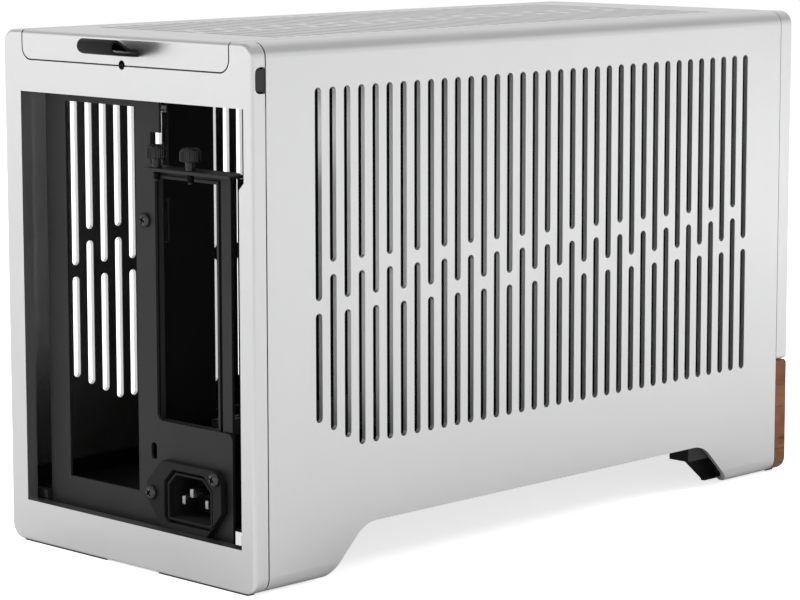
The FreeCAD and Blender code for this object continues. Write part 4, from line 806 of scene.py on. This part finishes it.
def make_inlet():
    """Mains inlet: flange, a groove round the mouth, the socket's collar, barrel and blades."""
    mouth = rounded(socket_mouth(0, 0.6), 0.5)
    flange = rounded(INLET_FLANGE, 1.2)
    flange_hole = rounded(socket_mouth(2.1, 2.2), 0.6)
    groove = rounded(socket_mouth(2.6, 2.2), 0.6)
    collar = rounded(socket_mouth(0.95, 1.0), 0.8)
    barrel = rounded(socket_mouth(1.6, 0.6), 0.8)
    moulding = [
        stamp("flange", [flange, flange_hole], PLATE_FACE, FLANGE_FACE, 0.3),
        stamp("groove", [groove, mouth], PLATE_FACE - 0.4, PLATE_FACE + 0.6, 0.05),
        stamp("collar", [collar, mouth], PLATE_FACE + 0.2, FLANGE_FACE - 0.8, 0.2),
        stamp("barrel", [barrel, mouth], SOCKET_FLOOR, PLATE_FACE - 0.2, 0.05),
        stamp("inner_end", [barrel], SOCKET_END, SOCKET_FLOOR + 0.5, 0.3),
    ]
    mesh = join("inlet_moulding", [(part, 0) for part in moulding])
    hand_over("inlet_moulding", mesh, ["inlet_plastic"], "chassis", "inlet_plastic", "inlet_body")
    blades = []
    for x, end, z in BLADE_TIPS:
        width = (x - BLADE_HALF_WIDTH, x + BLADE_HALF_WIDTH)
        height = (z - BLADE_HALF_HEIGHT, z + BLADE_HALF_HEIGHT)
        blades.append((bar(width, (SOCKET_FLOOR + 0.2, end), height, 0.2, 0.75), 0))
    mesh = join("inlet_blades", blades)
    hand_over("inlet_blades", mesh, ["contact"], "chassis", "contact", "inlet_pins")


STRAP_LINE = [
    (164.4, 210.40), (167.0, 210.55), (170.0, 210.85), (173.0, 211.20), (175.4, 211.45),
    (177.3, 212.10), (178.35, 213.30), (178.50, 214.60), (177.90, 215.80), (176.70, 216.50),
    (175.30, 216.45), (173.90, 215.75), (172.30, 214.65), (170.30, 213.45), (168.20, 212.75),
    (166.40, 212.50), (164.4, 212.45),
]


def smooth_line(points, steps):
    """Points along a curve that passes through the given ones."""
    line = []
    last = len(points) - 1
    for index in range(last):
        a, b, c, d = (Vector(points[min(max(index + k, 0), last)]) for k in (-1, 0, 1, 2))
        for step in range(steps):
            t = step / steps
            line.append(
                b + (c - a) * (t / 2) + (a * 2 - b * 5 + c * 4 - d) * (t * t / 2)
                + (b * 3 - a - c * 3 + d) * (t ** 3 / 2)
            )
    return line + [Vector(points[-1])]


def is_strap_rim(edge):
    """Whether an edge runs round one of the strap's two sides."""
    first, second = edge.verts
    return edge.calc_face_angle() > math.radians(60) and abs(first.co.x - second.co.x) < 1e-6


def make_strap():
    """Moulded strap doubled into a loop, its edges rounded over."""
    line = smooth_line(STRAP_LINE, 4)
    rows = len(line)
    outer, inner = [], []
    for index, point in enumerate(line):
        run = line[min(index + 1, rows - 1)] - line[max(index - 1, 0)]
        side = Vector((run.y, -run.x)).normalized() * STRAP_HALF_SHEET
        outer.append(point + side)
        inner.append(point - side)
    edge = outer + inner[::-1]
    bm = bmesh.new()
    ends = []
    for x in (-STRAP_HALF_WIDTH, STRAP_HALF_WIDTH):
        ends.append([bm.verts.new(Vector((x, y, z)) * MM) for y, z in edge])
    count = len(edge)
    for index in range(count):
        after = (index + 1) % count
        bm.faces.new((ends[0][index], ends[0][after], ends[1][after], ends[1][index]))
    for end in ends:
        for index in range(rows - 1):
            bm.faces.new((end[index], end[index + 1], end[count - 2 - index], end[count - 1 - index]))
    bmesh.ops.recalc_face_normals(bm, faces=bm.faces)
    rims = [e for e in bm.edges if is_strap_rim(e)]
    bmesh.ops.bevel(bm, geom=rims, offset=STRAP_EASE * MM, segments=3, affect="EDGES", profile=0.5)
    mesh = to_mesh("lid_strap_loop", bm)
    hand_over("lid_strap_loop", mesh, ["strap"], "lid", "strap", "lid_pull_tab", crease=50.0)


BUTTON_PROFILE = [
    (0, 0.34), (2.0, 0.32), (3.6, 0.24), (4.8, 0.10), (5.5, 0.01), (5.85, 0.0), (6.15, 0.06), (6.38, 0.22),
    (6.5, 0.5), (6.5, 6.6), (6.3, 6.8), (0, 6.8),
]


def make_button():
    """Turned button with a dished face and an eased rim."""
    mesh = turn("dished_button", BUTTON_PROFILE, 72)
    seat = Matrix.Translation(Vector(BUTTON_PLACE) * MM)
    mesh.transform(seat @ Matrix.Rotation(-math.pi / 2, 4, "X"))
    hand_over("dished_button", mesh, ["button"], "button", "button", "power_button")


def port_outline(middle, inset):
    x, z = PORT_HALF_WIDTH - inset, PORT_HALF_HEIGHT - inset
    left, right = middle - x, middle + x
    low, high = PORT_LEVEL - z, PORT_LEVEL + z
    return rounded([(left, low), (right, low), (right, high), (left, high)], 0.7)


def make_ports():
    """Stamped sockets with a dark tongue and gilt contacts."""
    shell, tongue, gilt = range(3)
    parts = []
    for middle in PORT_MIDDLES:
        outside, inside = port_outline(middle, 0), port_outline(middle, PORT_SHEET)
        parts.append((stamp("port_shell", [outside, inside], PORT_MOUTH, PORT_BACK, 0.12), shell))
        parts.append((stamp("port_back", [outside], PORT_BACK - 0.5, PORT_BACK + 0.5, 0.1), shell))
        width = (middle - TONGUE_HALF_WIDTH, middle + TONGUE_HALF_WIDTH)
        depth = (PORT_MOUTH + 0.9, PORT_BACK - 0.1)
        parts.append((bar(width, depth, (PORT_LEVEL + 0.1, PORT_LEVEL + 1.9), 0.2), tongue))
        for number in range(CONTACT_COUNT):
            x = middle + (number - (CONTACT_COUNT - 1) / 2) * CONTACT_PITCH
            width = (x - CONTACT_HALF_WIDTH, x + CONTACT_HALF_WIDTH)
            depth = (PORT_MOUTH + 1.5, PORT_BACK - 3.6)
            parts.append((bar(width, depth, (PORT_LEVEL - 0.02, PORT_LEVEL + 0.3), 0.05), gilt))
    finishes = ["socket", "black_plastic", "gilt"]
    hand_over("stamped_ports", join("stamped_ports", parts), finishes, "chassis", "socket", "front_ports")


make_thumbscrews()
seat_screws()
make_inlet()
make_strap()
make_button()
make_ports()


# Studio, in metres

FLOOR_REACH = 3.0
FLOOR_FADE = (0.45, 0.97)
FLOOR_BOUNCE = (0.68, 0.68, 0.68)
FLOOR_SHOWN = ((0.90, 0.90, 0.90), (0.93, 0.93, 0.93))
FLOOR_LIFT = 0.74
SURROUND_SEEN = 1.02
SURROUND_LOW, LOW_SPAN = (0.86, 1.20), (-1.3, 1.3)
SURROUND_HIGH, HIGH_SPAN = (0.80, 0.52), (-1.1, -0.4)
RIM_HEIGHT, RIM_SPAN = (0.02, 0.36), (-0.6, -0.1)
RIM_BLUR = 0.11
SOFTBOXES = (
    ("overhead_softbox", (0.0, 0.0, 2.8), (0.0, 0.0, 0.0), 2.4, 31.0),
    ("rear_softbox", (0.9, 1.6, 2.4), (0.7, 0.95, 0.0), 1.2, 37.0),
    ("side_softbox", (-0.9, -1.7, 1.0), (-0.9, -1.6, 0.0), 0.6, 24.0),
)
CAMERA_PLACE = (-0.897104, 0.920173, 0.285387)
CAMERA_YAW, CAMERA_PITCH, CAMERA_ROLL = -45.5666, -7.5600, -0.0799
CAMERA_LENS, CAMERA_SENSOR, CAMERA_SHIFT = 131.0428, 36.0, -0.06


def make_floor():
    """Round pale floor that fades into the white surround; it shows whiter than the light it throws back."""
    bm = bmesh.new()
    bmesh.ops.create_circle(bm, cap_ends=True, cap_tris=True, segments=96, radius=FLOOR_REACH)
    floor = show("studio_floor", to_mesh("studio_floor", bm))
    finish, bench, skin = new_finish("pale_floor")
    cloud = bench.noise(bench.places(), 3.0)
    seen = bench.put("ShaderNodeLightPath").outputs["Is Camera Ray"]
    shown = bench.blend(cloud, *FLOOR_SHOWN)
    bench.feed(skin["Base Color"], bench.blend(seen, FLOOR_BOUNCE, shown))
    bench.feed(skin["Roughness"], bench.ramp(cloud, 0.0, 1.0, 0.8, 0.95))
    skin["Emission Color"].default_value = (1, 1, 1, 1)
    bench.feed(skin["Emission Strength"], bench.product(seen, FLOOR_LIFT))
    far = bench.put("ShaderNodeVectorMath", operation="LENGTH")
    bench.feed(far.inputs[0], bench.places())
    fade = (FLOOR_REACH * share for share in FLOOR_FADE)
    bench.feed(skin["Alpha"], bench.ramp(far.outputs["Value"], *fade, 1.0, 0.0))
    floor.data.materials.append(finish)


def make_surround():
    """White where it is seen; bright up to a rim that rises to the rear left, and a dimmer sky over it."""
    world = bpy.data.worlds.new("white_surround")
    bpy.context.scene.world = world
    world.use_nodes = True
    bench = Bench(world.node_tree)
    glow = world.node_tree.nodes["Background"]
    x, y, z = bench.spot("Generated")
    rear_right = bench.sum("ADD", x, y)
    rear_left = bench.sum("SUBTRACT", y, x)
    low = bench.ramp(rear_right, *LOW_SPAN, *SURROUND_LOW)
    high = bench.ramp(rear_left, *HIGH_SPAN, *SURROUND_HIGH)
    rim = bench.ramp(rear_left, *RIM_SPAN, *RIM_HEIGHT)
    over_rim = bench.sum("SUBTRACT", z, rim)
    soft = bench.ramp(over_rim, -RIM_BLUR, RIM_BLUR, low, high)
    seen = bench.put("ShaderNodeLightPath").outputs["Is Camera Ray"]
    bench.feed(glow.inputs["Strength"], bench.sum("MAXIMUM", soft, bench.product(seen, SURROUND_SEEN)))
    glow.inputs["Color"].default_value = (1, 1, 1, 1)


def hang_softbox(name, place, target, side, power):
    """Square lamp that lights the case and is itself neither seen nor mirrored."""
    light = bpy.data.lights.new(name, "AREA")
    light.shape = "RECTANGLE"
    light.size, light.size_y = side, side
    light.energy = power
    box = show(name, light)
    box.location = place
    box.visible_camera = False
    box.visible_glossy = False
    box.rotation_euler = (Vector(target) - Vector(place)).to_track_quat("-Z", "Y").to_euler()


def set_camera():
    """Camera at the photo's place and angle."""
    yaw, pitch, roll = (math.radians(angle) for angle in (CAMERA_YAW, CAMERA_PITCH, CAMERA_ROLL))
    ahead = Vector((math.cos(yaw) * math.cos(pitch), math.sin(yaw) * math.cos(pitch), math.sin(pitch)))
    right = ahead.cross(Vector((0, 0, 1))).normalized()
    up = right.cross(ahead)
    right, up = (
        right * math.cos(roll) + up * math.sin(roll),
        up * math.cos(roll) - right * math.sin(roll),
    )
    data = bpy.data.cameras.new("photo_camera")
    data.sensor_width = CAMERA_SENSOR
    data.lens = CAMERA_LENS
    data.shift_y = CAMERA_SHIFT
    data.clip_start, data.clip_end = 0.01, 60.0
    camera = show("photo_camera", data)
    aim = Matrix((right, up, -ahead)).transposed().to_4x4()
    camera.matrix_world = Matrix.Translation(CAMERA_PLACE) @ aim
    bpy.context.scene.camera = camera


make_floor()
make_surround()
for softbox in SOFTBOXES:
    hang_softbox(*softbox)
set_camera()
bpy.context.scene.view_settings.view_transform = "Standard"
